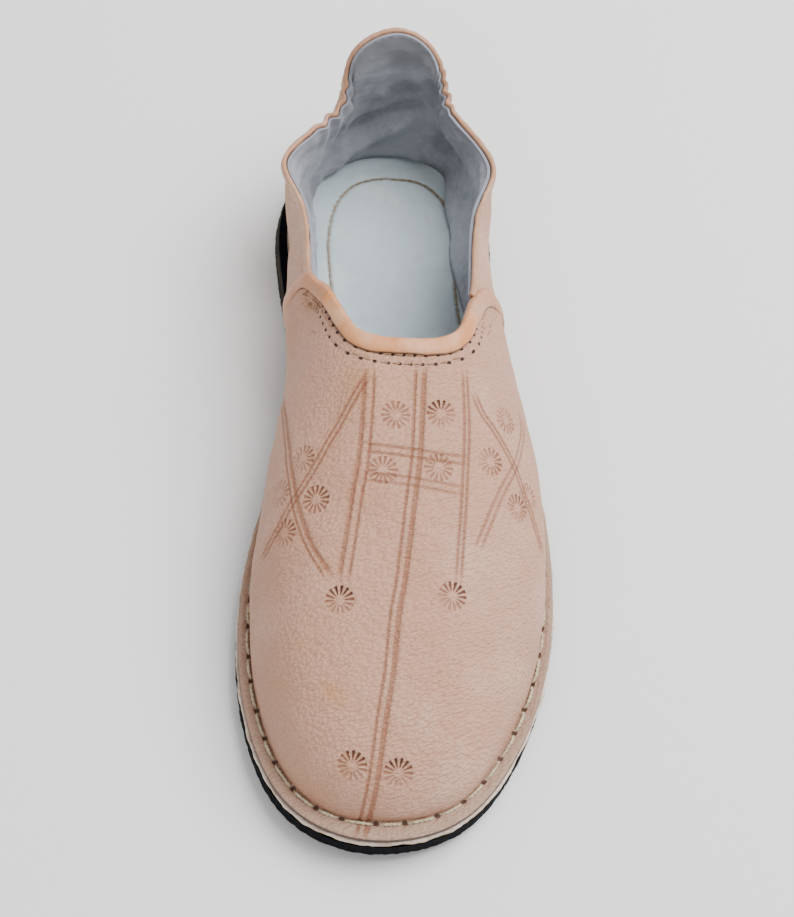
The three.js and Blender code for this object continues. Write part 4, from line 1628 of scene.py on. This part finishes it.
        # The cut face of the turned-out edge is coloured dark all over: its own dark cut, with painted
        # shadow where it meets the midsole.
        filled["marks"][:, -3:, 1:] = 1
        return ring_body(name, rings, False, filled, 60)

    def _vamp(self) -> bpy.types.Object:
        """The vamp, from one wing round the toe to the other."""
        last = self.last
        edge = 0.012
        start, end = last.wing_inner + edge, last.wing_outer - edge
        turns = last.even_turns(start, end, self.vamp_columns, 0.25)
        low = np.zeros(len(turns))
        limit = last.bound_share(turns) - 1 + last.share_below_top(turns, 0.9)
        rings, shares = self._section(turns, self.vamp_rows, 0, self.vamp_thickness, low, 1.2, limit)
        return self._finish("vamp", rings, turns, shares, VAMP_CREASES)

    def _quarter(self) -> bpy.types.Object:
        """The quarter, round the heel, with its ends tucked under the wings."""
        last = self.last
        tuck = 0.5
        start, end = last.wing_outer - tuck, last.count + last.wing_inner + tuck
        turns = last.even_turns(start, end, 430, 0.4)
        under = smooth_step(last.wing_outer - 0.3, start, turns)
        under = under + smooth_step(last.count + last.wing_inner, end, turns)
        low = 0.5 * (under > 0)
        limit = 1 - 0.12 * under
        outside = -last.wing_step - 0.02
        thickness = self.quarter_thickness
        rings, shares = self._section(turns, 84, outside, thickness, low, 0.9, limit)
        return self._finish("quarter", rings, turns, shares, QUARTER_CREASES)


@dataclass(frozen=True)
class Strip:
    """Sizes of one folded strip of binding leather."""

    width: float
    leather: float
    under: float
    inner_leg: float
    puff: float


@dataclass
class Bindings:
    """Strips of thin leather folded over the throat, the wings' rear edges and the collar."""

    last: Last
    throat_finish: BindingLeather = BindingLeather()
    collar_finish: BindingLeather = BindingLeather("#b88a6c", "#c69d82", "#94684b")
    throat: Strip = Strip(5.5, 0.8, 1.2, 2.4, 0.3)
    collar: Strip = Strip(3.2, 0.5, 0.75, 1.5, 0.12)

    def build(self) -> list[bpy.types.Object]:
        """Makes both bindings."""
        throat, collar = self._throat(), self._collar()
        finishes = (
            (throat, "throat_binding", self.throat_finish.build("binding_calf_peach")),
            (collar, "collar_binding", self.collar_finish.build("binding_calf_tan")),
        )
        for piece, node, material in finishes:
            piece.data.materials.append(material)
            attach(piece, "root")
            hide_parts(node)
        return [throat, collar]

    def _outline(self, strip: Strip, sunk: float = 0) -> np.ndarray:
        """Outline of a folded strip: distance in from the edge and height over the leather.

        Args:
            strip: Sizes of the strip.
            sunk: How far the inner leg is pressed flat, from 0 to 1.
        """
        crown = strip.leather
        fold = 0.6
        inner = -strip.under - crown * (1 - sunk)
        leg = strip.inner_leg * (1 - sunk) + 1.2 * sunk
        points = [(strip.width, -0.05), (strip.width - 0.05, crown * 0.4)]
        points.append((strip.width - 0.45, crown * 0.92))
        for share in np.linspace(0.2, 1, 6):
            swell = strip.puff * math.sin(math.pi * share)
            points.append((strip.width * (1 - share) + fold * share, crown + swell))
        middle, half = (crown + inner) / 2, (crown - inner) / 2
        for step in range(1, 6):
            angle = math.pi * step / 6
            points.append((fold - (fold + 0.1) * math.sin(angle), middle + half * math.cos(angle)))
        points += [(fold, inner), (leg, inner), (leg, -strip.under + 0.05), (0.9, -strip.under + 0.05)]
        return np.array([*points, (0.9, -0.05)])

    def _sweep(
        self,
        name: str,
        path: np.ndarray,
        outline: np.ndarray,
        base: np.ndarray,
        inside: np.ndarray,
        dulled: np.ndarray,
    ) -> bpy.types.Object:
        """Lays a folded strip along a path over the wall.

        Args:
            name: Name of the piece.
            path: Section number and share of each place on the edge.
            outline: The strip's outlines: place, point, (distance in, height).
            base: Distance of the leather's face outside the wall at each place.
            inside: A point of the wall on the side that the strip is folded in to.
            dulled: How dull the strip is at each place, with a joint where it changes.
        """
        last = self.last
        steps = last.steps_in(path, inside)
        distance, height = outline[..., 0], outline[..., 1]
        turns = path[:, :1] + steps[:, :1] * distance
        shares = path[:, 1:] + steps[:, 1:] * distance
        for column, reach in enumerate(distance.max(0)):
            passes = round(6 * reach**2)
            turns[:, column] = relaxed(turns[:, column], passes)
            shares[:, column] = relaxed(shares[:, column], passes)
        rings = last.skin(turns, shares, height + base[:, None])
        uneven = 0.1 * lumps(rings, 9, 21) + 0.05 * lumps(rings, 3, 22)
        middle = rings.mean(1, keepdims=True)
        rings = rings + unit(rings - middle) * uneven[..., None]
        marks = np.zeros((*rings.shape[:2], 3))
        # Painted shade along the strip's edges where they meet the leather.
        marks[..., 0] = np.where(height < 0.4, 1, 0) * (distance > 2.2)
        marks[..., 1] = dulled[:, None]
        return ring_body(name, rings, False, {"marks": marks}, 70)

    def _throat(self) -> bpy.types.Object:
        """The strip round the throat, which turns down the rear edges of both wings."""
        path = self.last.vamp_path()
        sunk = smooth_step(0.9, 0.72, path[:, 1])
        outlines = np.array([self._outline(self.throat, share) for share in sunk])
        middle = self.last.vamp_middle()
        pressed = -0.6 * smooth_step(0.97, 0.86, path[:, 1])
        joints = (9.35, 20.55)
        dulled = smooth_step(joints[0] + 0.03, joints[0] - 0.03, path[:, 0])
        dulled = dulled + smooth_step(joints[1] - 0.03, joints[1] + 0.03, path[:, 0])
        pressed = pressed + 0.25 * bell(dulled - 0.5, 0.3)
        return self._sweep("throat_binding_strip", path, outlines, pressed, middle, dulled)

    def _collar(self) -> bpy.types.Object:
        """The strip round the collar and over the heel tab, from wing to wing."""
        last = self.last
        tuck = 0.5
        start, end = last.wing_outer - tuck, last.count + last.wing_inner + tuck
        turns = last.even_turns(start, end, 460, 1)
        path = np.stack([turns, np.ones(len(turns))], 1)
        outline = self._outline(self.collar)
        outlines = np.repeat(outline[None], len(turns), 0)
        base = np.full(len(turns), -last.wing_step)
        below = last.wall(turns, 0.6)
        return self._sweep("collar_binding_strip", path, outlines, base, below, np.zeros(len(path)))


LINING_FOLDS = (
    Crease((-23, 17), (8, 32), 4, 4.2, Plane.BACK),
    Crease((-15, 28), (13, 43), 4, -2.4, Plane.BACK),
    Crease((0, 50), (18, 56), 5.5, -2.2, Plane.BACK),
    Crease((-13, 58), (-17, 26), 2.4, 1.3, Plane.BACK),
    Crease((10, 58), (21, 38), 3.4, 1.3, Plane.BACK),
    Crease((20, 22), (25, 34), 4, -2.6, Plane.BACK),
    Crease((-20, 13), (20, 13), 3.5, 1.6, Plane.BACK),
    Crease((112, 20), (96, 44), 3.5, 0.9, Plane.SIDE, 1),
    Crease((98, 16), (82, 40), 4, -0.8, Plane.SIDE, 1),
    Crease((108, 18), (98, 42), 3, 0.8, Plane.SIDE, -1),
)


@dataclass
class LiningSock:
    """The loose suede lining, from the insole up to the binding's inner leg."""

    last: Last
    finish: SuedeLining = SuedeLining()
    thickness: float = 0.75
    insole_top: float = 12.8
    laps: tuple[tuple[float, float], ...] = (
        (0, 1.8), (2, 1.3), (3, 1), (3.8, 2.4), (4.6, 5), (6, 4.8), (8, 3), (11, 2.2),
        (19, 2.2), (22, 3), (23.2, 5.2), (24.5, 8.2), (26, 8.6), (27, 5.6), (27.9, 1.3), (28.6, 1.2),
    )  # fmt: skip

    def build(self) -> bpy.types.Object:
        """Makes the lining as one closed shell all the way round."""
        last = self.last
        turns = np.linspace(0, last.count, 720, endpoint=False)
        columns = turns[:, None]
        quarter = last.quarter_share(turns)
        back = (-1.25 - last.wing_step * quarter)[:, None]
        limit = np.where(quarter < 0.15, np.minimum(last.bound_share(turns), 1), 1)
        top = limit - 1 + last.share_below_top(turns, 0.9)
        rows = 100
        lowest = 0.01
        shares = last.even_shares(turns, rows, top)
        shares = lowest + shares * (1 - lowest / top[:, None])
        clear = 0.4 * smooth_step(0.16, 0.03, top[:, None] - shares)
        face = last.skin(columns, shares, back - self.thickness - clear)
        height = face[..., 2] - last.spring(face[..., 1]) - self.insole_top
        normal = last.edge_normal(turns)[:, None]
        lap = closed_blend(*zip(*self.laps), last.count)(turns)[:, None]
        spread = 4 + 1.3 * lap
        face = face - normal * (bell(np.maximum(height, 0) / spread, 1) * lap)[..., None]
        lift = 0.5 * lumps(face, 19, 31) + 0.3 * lumps(face, 8, 32) + 0.14 * lumps(face, 3.5, 33) + 1.5
        folded = sum(fold.lift(face) for fold in LINING_FOLDS)
        lift = lift + folded
        lift = np.maximum(lift, -0.4)
        outwards = last.normal(columns, shares)
        free = smooth_step(-1, 3, height) * smooth_step(0, 0.1, top[:, None] - shares)
        face = face - outwards * (lift * (0.15 + 0.85 * free))[..., None]
        behind_shares = np.linspace(top, lowest, 6).T
        behind_clear = 0.4 * smooth_step(0.16, 0.03, top[:, None] - behind_shares)
        behind = last.skin(columns, behind_shares, back - behind_clear)
        rings = np.concatenate([face, behind], 1)
        depth = np.linalg.norm(face - face[:, -1:], axis=-1)
        ragged = 0.35 * lumps(face, 2.5, 35)
        marks = np.zeros((*rings.shape[:2], 3))
        # The cut edge near the top and the hidden back face take the rim colour: painted shade on the edge.
        marks[:, :rows, 0] = smooth_step(1.1, 0.4, depth + ragged)
        marks[:, rows:, 0] = 1
        hollow = smooth_step(-0.4, -2, folded)
        foot = bell(height - 0.2, 1.3 + 1.2 * smooth_step(104, 116, face[..., 1]))
        marks[:, :rows, 1] = np.clip(0.8 * foot + 0.35 * hollow, 0, 1)
        # Painted shade over the heel's back wall, which the light leaves darker.
        at_back = 0.55 * smooth_step(96, 112, face[..., 1] + 2 * lumps(face, 9, 37))
        # Darker grey up the tab.
        on_tab = smooth_step(30, 62, height + 4 * lumps(face, 16, 36))
        marks[:, :rows, 2] = np.maximum(at_back, on_tab)
        piece = ring_body("lining", rings, True, {"marks": marks}, 70)
        piece.data.materials.append(self.finish.build("suede_split_blue_grey"))
        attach(piece, "root")
        return piece


@dataclass
class InsoleSheet:
    """The pale insole with a stitched groove that runs round inside its edge."""

    last: Last
    finish: InsoleLeather = InsoleLeather()
    seat: float = 9.6
    thickness: float = 3.2
    clearance: float = 0.3
    groove_width: float = 0.75
    groove_depth: float = 0.4

    def margin(self, turn: np.ndarray) -> np.ndarray:
        """Place of the insole's edge against the slipper's outline."""
        quarter = self.last.quarter_share(turn)
        return -2.2 - 1.1 * quarter - self.last.edge_width(turn) - self.clearance - 0.6

    def groove(self) -> np.ndarray:
        """The line of the groove, in even steps."""
        inset = closed_blend(
            (0, 2, 4, 6, 8, 11, 15, 19, 22, 24, 26, 28),
            (12.5, 12.2, 11.2, 9.6, 9, 9, 10, 7.6, 6.6, 6.5, 7.8, 10.2),
            self.last.count,
        )
        samples = np.linspace(0, self.last.count, 1600)
        height = self.seat + self.thickness
        line = self.last.rim(samples, self.margin(samples) + 1.6 - inset(samples), height)
        along = cumulative(line)
        marks = np.arange(0, along[-1], 0.5)
        return np.stack([np.interp(marks, along, line[:, axis]) for axis in range(3)], 1)

    def build(self) -> bpy.types.Object:
        """Makes the insole."""
        tree = search_tree(self.groove() * (1, 1, 0))
        top = self.seat + self.thickness

        def away(points: np.ndarray) -> np.ndarray:
            """Distance of each point from the groove, in plan."""
            return np.array([tree.find(Vector((p[0], p[1], 0)))[2] for p in points])

        def reshape(points: np.ndarray, turns: np.ndarray) -> np.ndarray:
            """Sinks the groove and lets the sheet lie a little uneven."""
            level = points[:, 2] - self.last.spring(points[:, 1])
            on_top = smooth_step(self.seat + 1, top, level)
            lift = 0.22 * lumps(points, 30, 41) + 0.05 * lumps(points, 8, 42)
            sunk = self.groove_depth * bell(away(points), self.groove_width)
            points[:, 2] += on_top * (lift - 0.2 - sunk)
            return points

        def finish(points: np.ndarray) -> dict[str, np.ndarray]:
            """Marks the groove's colour and the shade at its edge."""
            gap = away(points)
            marks = np.zeros((len(points), 3))
            marks[:, 0] = smooth_step(1.0, 0.3, gap + 0.15 * lumps(points, 2, 43))
            return {"marks": marks}

        levels = [(self.margin, level_at(top)), (self.margin, level_at(self.seat))]
        piece = disc_body("insole_sheet", self.last, levels, 420, 84, finish, reshape)
        piece.data.materials.append(self.finish.build("insole_leather_pale"))
        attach(piece, "root")
        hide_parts("insole")
        return piece


@dataclass
class SoleStack:
    """The raw leather midsole and the knife-cut rubber outsole."""

    last: Last
    leather: SoleLeather = SoleLeather()
    rubber: SoleRubber = SoleRubber()
    outsole_thickness: float = 7
    midsole_seat: float = 7.3
    midsole_thickness: float = 2
    outsole_margin: float = 0.9
    heel_margin: float = 1.1
    heel_flare: float = 1.5
    midsole_margin: float = 0.6
    midsole_heel_inset: float = 0.5
    bevel: float = 0.8
    steps: int = 560

    def build(self) -> list[bpy.types.Object]:
        """Makes both soles."""
        midsole, outsole = self._midsole(), self._outsole()
        finishes = (
            (midsole, "midsole", "midsole_leather", self.leather.build("sole_split_raw_edge")),
            (outsole, "outsole", "sole_rubber", self.rubber.build("black_rubber_sheet")),
        )
        for piece, node, slot_name, material in finishes:
            piece.data.materials.append(material)
            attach(piece, "root")
            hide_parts(node)
        return [midsole, outsole]

    def _midsole(self) -> bpy.types.Object:
        """The thin leather between upper and rubber, its cut edge a little uneven."""
        last = self.last
        top = self.midsole_seat + self.midsole_thickness

        def margin(turn: np.ndarray) -> np.ndarray:
            """Place of the cut edge against the slipper's outline."""
            heel = last.heel_share(turn)
            margin = self.midsole_margin - (self.midsole_margin + self.midsole_heel_inset) * heel
            return margin - last.edge_tuck(turn)

        def reshape(points: np.ndarray, turns: np.ndarray) -> np.ndarray:
            """Lets the knife wander along the cut."""
            outwards = last.edge_normal(turns)
            middle = np.linalg.norm(points[:, :2] - last.edge(turns)[:, :2], axis=-1) < 3
            wander = 0.16 * lumps(points, 9, 51) + 0.1 * lumps(points, 2.6, 52)
            return points + outwards * (wander * middle)[:, None]

        def finish(points: np.ndarray) -> dict[str, np.ndarray]:
            """Marks the glue at the lower rim."""
            level = points[:, 2] - last.spring(points[:, 1])
            marks = np.zeros((len(points), 3))
            marks[:, 0] = smooth_step(self.midsole_seat + 0.75, self.midsole_seat + 0.2, level)
            return {"marks": marks}

        drops = (0, 0.25, 1.0, 1.6, self.midsole_thickness)
        insets = (0.15, 0, 0.05, 0, 0.1)
        levels = [
            (lambda turn, inset=inset: margin(turn) - inset, level_at(top - drop))
            for drop, inset in zip(drops, insets)
        ]
        return disc_body("midsole_split", last, levels, self.steps, 2, finish, reshape, 60)

    def _outsole(self) -> bpy.types.Object:
        """The rubber sole: knife-cut side with nicks, and a worn bevel round the tread."""
        last = self.last
        thickness = self.outsole_thickness

        def margin(share: float) -> Callable[[np.ndarray], np.ndarray]:
            """Place of the side, a share of the way down."""

            def place(turn: np.ndarray) -> np.ndarray:
                heel = last.heel_share(turn)
                top = self.outsole_margin + (self.heel_margin - self.outsole_margin) * heel
                return top + self.heel_flare * heel * share - last.sole_tuck(turn)

            return place

        def reshape(points: np.ndarray, turns: np.ndarray) -> np.ndarray:
            """Roughens the cut side and leaves burrs along its lower rim."""
            outwards = last.edge_normal(turns)
            level = points[:, 2] - last.spring(points[:, 1])
            side = np.linalg.norm(points[:, :2] - last.edge(turns)[:, :2], axis=-1) < 4
            low = smooth_step(5, 0.8, level)
            rough = 0.1 * lumps(points, 6, 61) + 0.07 * lumps(points, 1.8, 62)
            burrs = np.maximum(0, lumps(points * np.array([1, 1, 0.3]), 3.2, 63) - 1.7) * 1.6
            toe = last.toe_share(turns)
            move = (rough * (0.5 + 0.5 * low) + burrs * low * (0.15 + 0.85 * toe)) * side
            return points + outwards * np.clip(move, -0.4, 0.9)[:, None]

        def finish(points: np.ndarray) -> dict[str, np.ndarray]:
            """Marks where the side is scuffed grey: round the heel and along its flanks."""
            marks = np.zeros((len(points), 3))
            scuff = smooth_step(40, 70, points[:, 1]) * smooth_step(6.4, 5.4, points[:, 2])
            marks[:, 0] = scuff
            return {"marks": marks}

        shares = np.linspace(0, 1 - self.bevel / thickness, 8)
        levels = [(margin(share), level_at(thickness * (1 - share))) for share in shares]
        lowest = margin(float(shares[-1]))
        levels.append((lambda turn: lowest(turn) - 0.3, level_at(self.bevel * 0.35)))
        levels.append((lambda turn: lowest(turn) - self.bevel, level_at(0)))
        return disc_body("outsole_rubber", last, levels, self.steps, 4, finish, reshape, 60)


@dataclass
class StitchRow:
    """Stitches of one kind, laid by Geometry Nodes on points that carry their directions."""

    name: str
    length: float
    diameter: float
    arch: float
    twist: float
    sides: int = 8
    steps: int = 11

    def build(
        self,
        places: np.ndarray,
        along: np.ndarray,
        up: np.ndarray,
        stretch: np.ndarray,
        material: bpy.types.Material,
    ) -> bpy.types.Object:
        """Makes the stitches as one plain mesh.

        Args:
            places: Middle of each stitch, in millimetres.
            along: Direction of each stitch.
            up: Direction away from the leather at each stitch.
            stretch: Length of each stitch over the usual length.
            material: Finish of the thread.

        Returns:
            The finished object.
        """
        mesh = bpy.data.meshes.new(self.name + "_points")
        mesh.from_pydata((places * METRES).tolist(), [], [])
        scales = np.stack([stretch, np.ones(len(stretch)), np.ones(len(stretch))], -1)
        for title, values in (("along", along), ("up", up), ("stretch", scales)):
            write_vectors(mesh, title, values)
        carrier = place_in_scene(self.name + "_points", mesh)
        modifier = carrier.modifiers.new("stitches", "NODES")
        modifier.node_group = self._tree()
        values = {
            "Stitch length": self.length * METRES,
            "Thread diameter": self.diameter * METRES,
            "Arch": self.arch * METRES,
            "Twist": self.twist,
            "Thread": material,
        }
        for item in modifier.node_group.interface.items_tree:
            if item.item_type == "SOCKET" and item.in_out == "INPUT" and item.name in values:
                modifier[item.identifier] = values[item.name]
        bpy.context.view_layer.update()
        graph = bpy.context.evaluated_depsgraph_get()
        plain = bpy.data.meshes.new_from_object(carrier.evaluated_get(graph))
        plain.name = self.name
        made = place_in_scene(self.name, plain)
        bpy.data.objects.remove(carrier)
        if not plain.materials:
            plain.materials.append(material)
        plain.shade_smooth()
        return made

    def _tree(self) -> bpy.types.NodeTree:
        """Builds the tree: a twisted, arched strand on every point, realized and dressed."""
        tree = bpy.data.node_groups.new(self.name, "GeometryNodeTree")
        sockets = (
            ("Geometry", "NodeSocketGeometry"),
            ("Stitch length", "NodeSocketFloat"),
            ("Thread diameter", "NodeSocketFloat"),
            ("Arch", "NodeSocketFloat"),
            ("Twist", "NodeSocketFloat"),
            ("Thread", "NodeSocketMaterial"),
        )
        for title, kind in sockets:
            tree.interface.new_socket(title, in_out="INPUT", socket_type=kind)
        tree.interface.new_socket("Geometry", in_out="OUTPUT", socket_type="NodeSocketGeometry")

        def sum_of(operation: str, *values: object) -> bpy.types.Node:
            """A sum on one to three values."""
            return add_node(tree, "ShaderNodeMath", dict(enumerate(values)), operation=operation)

        group = add_node(tree, "NodeGroupInput").outputs
        half = sum_of("MULTIPLY", group["Stitch length"], 0.5)
        less = sum_of("MULTIPLY", half, -1.0)
        start = add_node(tree, "ShaderNodeCombineXYZ", {0: less})
        end = add_node(tree, "ShaderNodeCombineXYZ", {0: half})
        line = add_node(tree, "GeometryNodeCurvePrimitiveLine", {"Start": start, "End": end})
        fine = add_node(tree, "GeometryNodeResampleCurve", {"Curve": line, "Count": self.steps})
        place = add_node(tree, "GeometryNodeInputPosition")
        x = add_node(tree, "ShaderNodeSeparateXYZ", {0: place}).outputs[0]
        share = sum_of("DIVIDE", x, half)
        squared = sum_of("POWER", share, 4.0)
        rest = sum_of("SUBTRACT", 1.0, squared)
        slim = sum_of("MULTIPLY_ADD", squared, -0.45, 1.0)
        rise = sum_of("MULTIPLY", rest, group["Arch"])
        offset = add_node(tree, "ShaderNodeCombineXYZ", {2: rise})
        bent = add_node(tree, "GeometryNodeSetPosition", {"Geometry": fine, "Offset": offset})
        turn = sum_of("MULTIPLY", share, group["Twist"])
        twisted = add_node(tree, "GeometryNodeSetCurveTilt", {"Curve": bent, "Tilt": turn})
        radius = sum_of("MULTIPLY", group["Thread diameter"], 0.5)
        inputs = {"Resolution": self.sides, "Radius": radius}
        circle = add_node(tree, "GeometryNodeCurvePrimitiveCircle", inputs)
        plies = add_node(tree, "GeometryNodeTransform", {"Geometry": circle, "Scale": (1.12, 0.8, 1)})
        tapered = add_node(tree, "GeometryNodeSetCurveRadius", {"Curve": twisted, "Radius": slim})
        inputs = {"Curve": tapered, "Profile Curve": plies, "Fill Caps": True}
        strand = add_node(tree, "GeometryNodeCurveToMesh", inputs)
        names = {}
        for title in ("along", "up", "stretch"):
            names[title] = add_node(
                tree, "GeometryNodeInputNamedAttribute", {"Name": title}, data_type="FLOAT_VECTOR"
            )
        rotation = add_node(
            tree,
            "FunctionNodeAxesToRotation",
            {0: names["up"], 1: names["along"]},
            primary_axis="Z",
            secondary_axis="X",
        )
        inputs = {"Points": group["Geometry"], "Instance": strand, "Rotation": rotation}
        inputs["Scale"] = names["stretch"]
        laid = add_node(tree, "GeometryNodeInstanceOnPoints", inputs)
        real = add_node(tree, "GeometryNodeRealizeInstances", {0: laid})
        dressed = add_node(tree, "GeometryNodeSetMaterial", {"Geometry": real, "Material": group["Thread"]})
        add_node(tree, "NodeGroupOutput", {0: dressed})
        return tree


@dataclass
class Stitching:
    """All visible thread: the edge cord, the throat's double row and the insole's groove."""

    last: Last
    leather: Leather
    insole: InsoleSheet
    cord: WaxedCord = WaxedCord()

    def build(self) -> list[bpy.types.Object]:
        """Makes the three kinds of stitches."""
        cord = self.cord.build("waxed_linen_cord")
        thin = WaxedCord("#b08a6c", "#8a6950").build("waxed_thread_tan")
        brown = WaxedCord("#9a8467", "#6d5b45").build("sewing_thread_brown")
        made = [self._edge(cord), self._throat(thin), self._groove(brown)]
        for piece in made:
            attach(piece, "root")
        return made

    def _edge(self, material: bpy.types.Material) -> bpy.types.Object:
        """Long stitches from hole to hole along the feather line."""
        turns = self.leather.cord_turns
        after = np.roll(turns, -1)
        after[-1] += self.last.count
        first, second = self.leather.feather(turns), self.leather.feather(after)
        outwards = self.last.edge_normal((turns + after) / 2)
        crease = self.leather.feather((turns + after) / 2)
        bow = np.einsum("ij,ij->i", crease - (first + second) / 2, outwards)
        place = (first + second) / 2 + outwards * (0.4 + 0.55 * bow)[:, None]
        sink = 1.35
        place[:, 2] -= sink
        along = unit(second - first)
        up = unit(np.array([0, 0, 1.0]) + outwards * 0.45)
        gap = 1.7
        pitch = self.leather.finish.cord_pitch
        length = np.linalg.norm(second - first, axis=-1) - gap
        row = StitchRow("edge_cord", pitch - gap, 1.2, 2.0, 9, 8, 23)
        return row.build(place, along, up, length / row.length, material)

    def _throat(self, material: bpy.types.Material) -> bpy.types.Object:
        """Short sunk stitches of the two rows below the throat binding."""
        last = self.last
        finish = self.leather.finish
        path, edge = self.leather.path, self.leather.bound_edge
        run = cumulative(edge)
        pitch = finish.needle_pitch
        steps = last.steps_in(path, last.vamp_middle())
        places, along, up = [], [], []
        for row, level in enumerate(finish.needle_depths):
            first = math.ceil((run[-1] / 2 - 52) / pitch)
            marks = (np.arange(first, first + 104 // pitch) + 0.5) * pitch - 0.3 * row * pitch
            index = np.searchsorted(run, marks)
            turns = path[index, 0] + steps[index, 0] * level
            shares = path[index, 1] + steps[index, 1] * level
            places.append(last.skin(turns, shares, -0.3))
            along.append(unit(np.gradient(edge, axis=0))[index])
            up.append(last.normal(turns, shares))
        stitch = StitchRow("throat_stitches", pitch - 1.1, 0.5, 0.2, 4, 6, 9)
        places = np.vstack(places)
        stretch = np.ones(len(places))
        return stitch.build(places, np.vstack(along), np.vstack(up), stretch, material)

    def _groove(self, material: bpy.types.Material) -> bpy.types.Object:
        """Fine stitches that lie in the insole's groove."""
        line = self.insole.groove()
        every = 6
        chosen = np.arange(2, len(line) - 2, every)
        along = unit(line[chosen + 2] - line[chosen - 2])
        places = line[chosen] + np.array([0, 0, -0.42])
        up = np.tile((0.0, 0.0, 1.0), (len(chosen), 1))
        stitch = StitchRow("insole_stitches", 2.2, 0.45, 0.14, 3, 6, 7)
        return stitch.build(places, along, up, np.ones(len(chosen)), material)


@dataclass
class Studio:
    """Plain pale floor, white surroundings and soft overhead light."""

    floor_size: float = 6
    sky: float = 0.64
    key: float = 50
    fill: float = 3

    def build(self) -> None:
        """Makes the floor, the world and the lights."""
        half = self.floor_size / 2
        mesh = bpy.data.meshes.new("floor")
        corners = [(-half, -half, 0), (half, -half, 0), (half, half, 0), (-half, half, 0)]
        mesh.from_pydata(corners, [], [(0, 1, 2, 3)])
        floor = place_in_scene("floor", mesh)
        paper = Finish("white_paper", "#f4f4f4")
        paper.raise_by(paper.noise(3, 2), 0.01)
        floor.data.materials.append(paper.close(0.9))
        world = bpy.data.worlds.new("studio")
        world.use_nodes = True
        world.node_tree.nodes["Background"].inputs[0].default_value = (1, 1, 1, 1)
        world.node_tree.nodes["Background"].inputs[1].default_value = self.sky
        bpy.context.scene.world = world
        self._lamp("key", (0.75, 0.35, 1.5), 1.3, self.key)
        self._lamp("fill", (-0.5, -1.0, 1.0), 1.0, self.fill)

    def _lamp(self, name: str, place: tuple[float, float, float], size: float, power: float) -> None:
        """Adds a square soft light that looks at the slipper."""
        data = bpy.data.lights.new(name, "AREA")
        data.size = size
        data.energy = power
        lamp = place_in_scene(name, data)
        lamp.location = place
        lamp.rotation_mode = "QUATERNION"
        lamp.rotation_quaternion = (-Vector(place)).to_track_quat("-Z", "Y")


def main() -> None:
    """Builds every piece in order and reports it."""
    logging.basicConfig(level=logging.INFO, format="%(name)s: %(message)s")
    camera = PhotoCamera()
    camera.build()
    last = Last()
    tooling = Tooling(last, camera)
    leather = Leather(last, tooling)
    insole = InsoleSheet(last)
    pieces = [*leather.build(), *Bindings(last).build(), LiningSock(last).build()]
    pieces += [insole.build(), *SoleStack(last).build()]
    pieces += Stitching(last, leather, insole).build()
    Studio().build()
    for piece in pieces:
        piece.data.calc_loop_triangles()
        log.info("%s: %d triangles", piece.name, len(piece.data.loop_triangles))


if __name__ == "__main__":
    main()
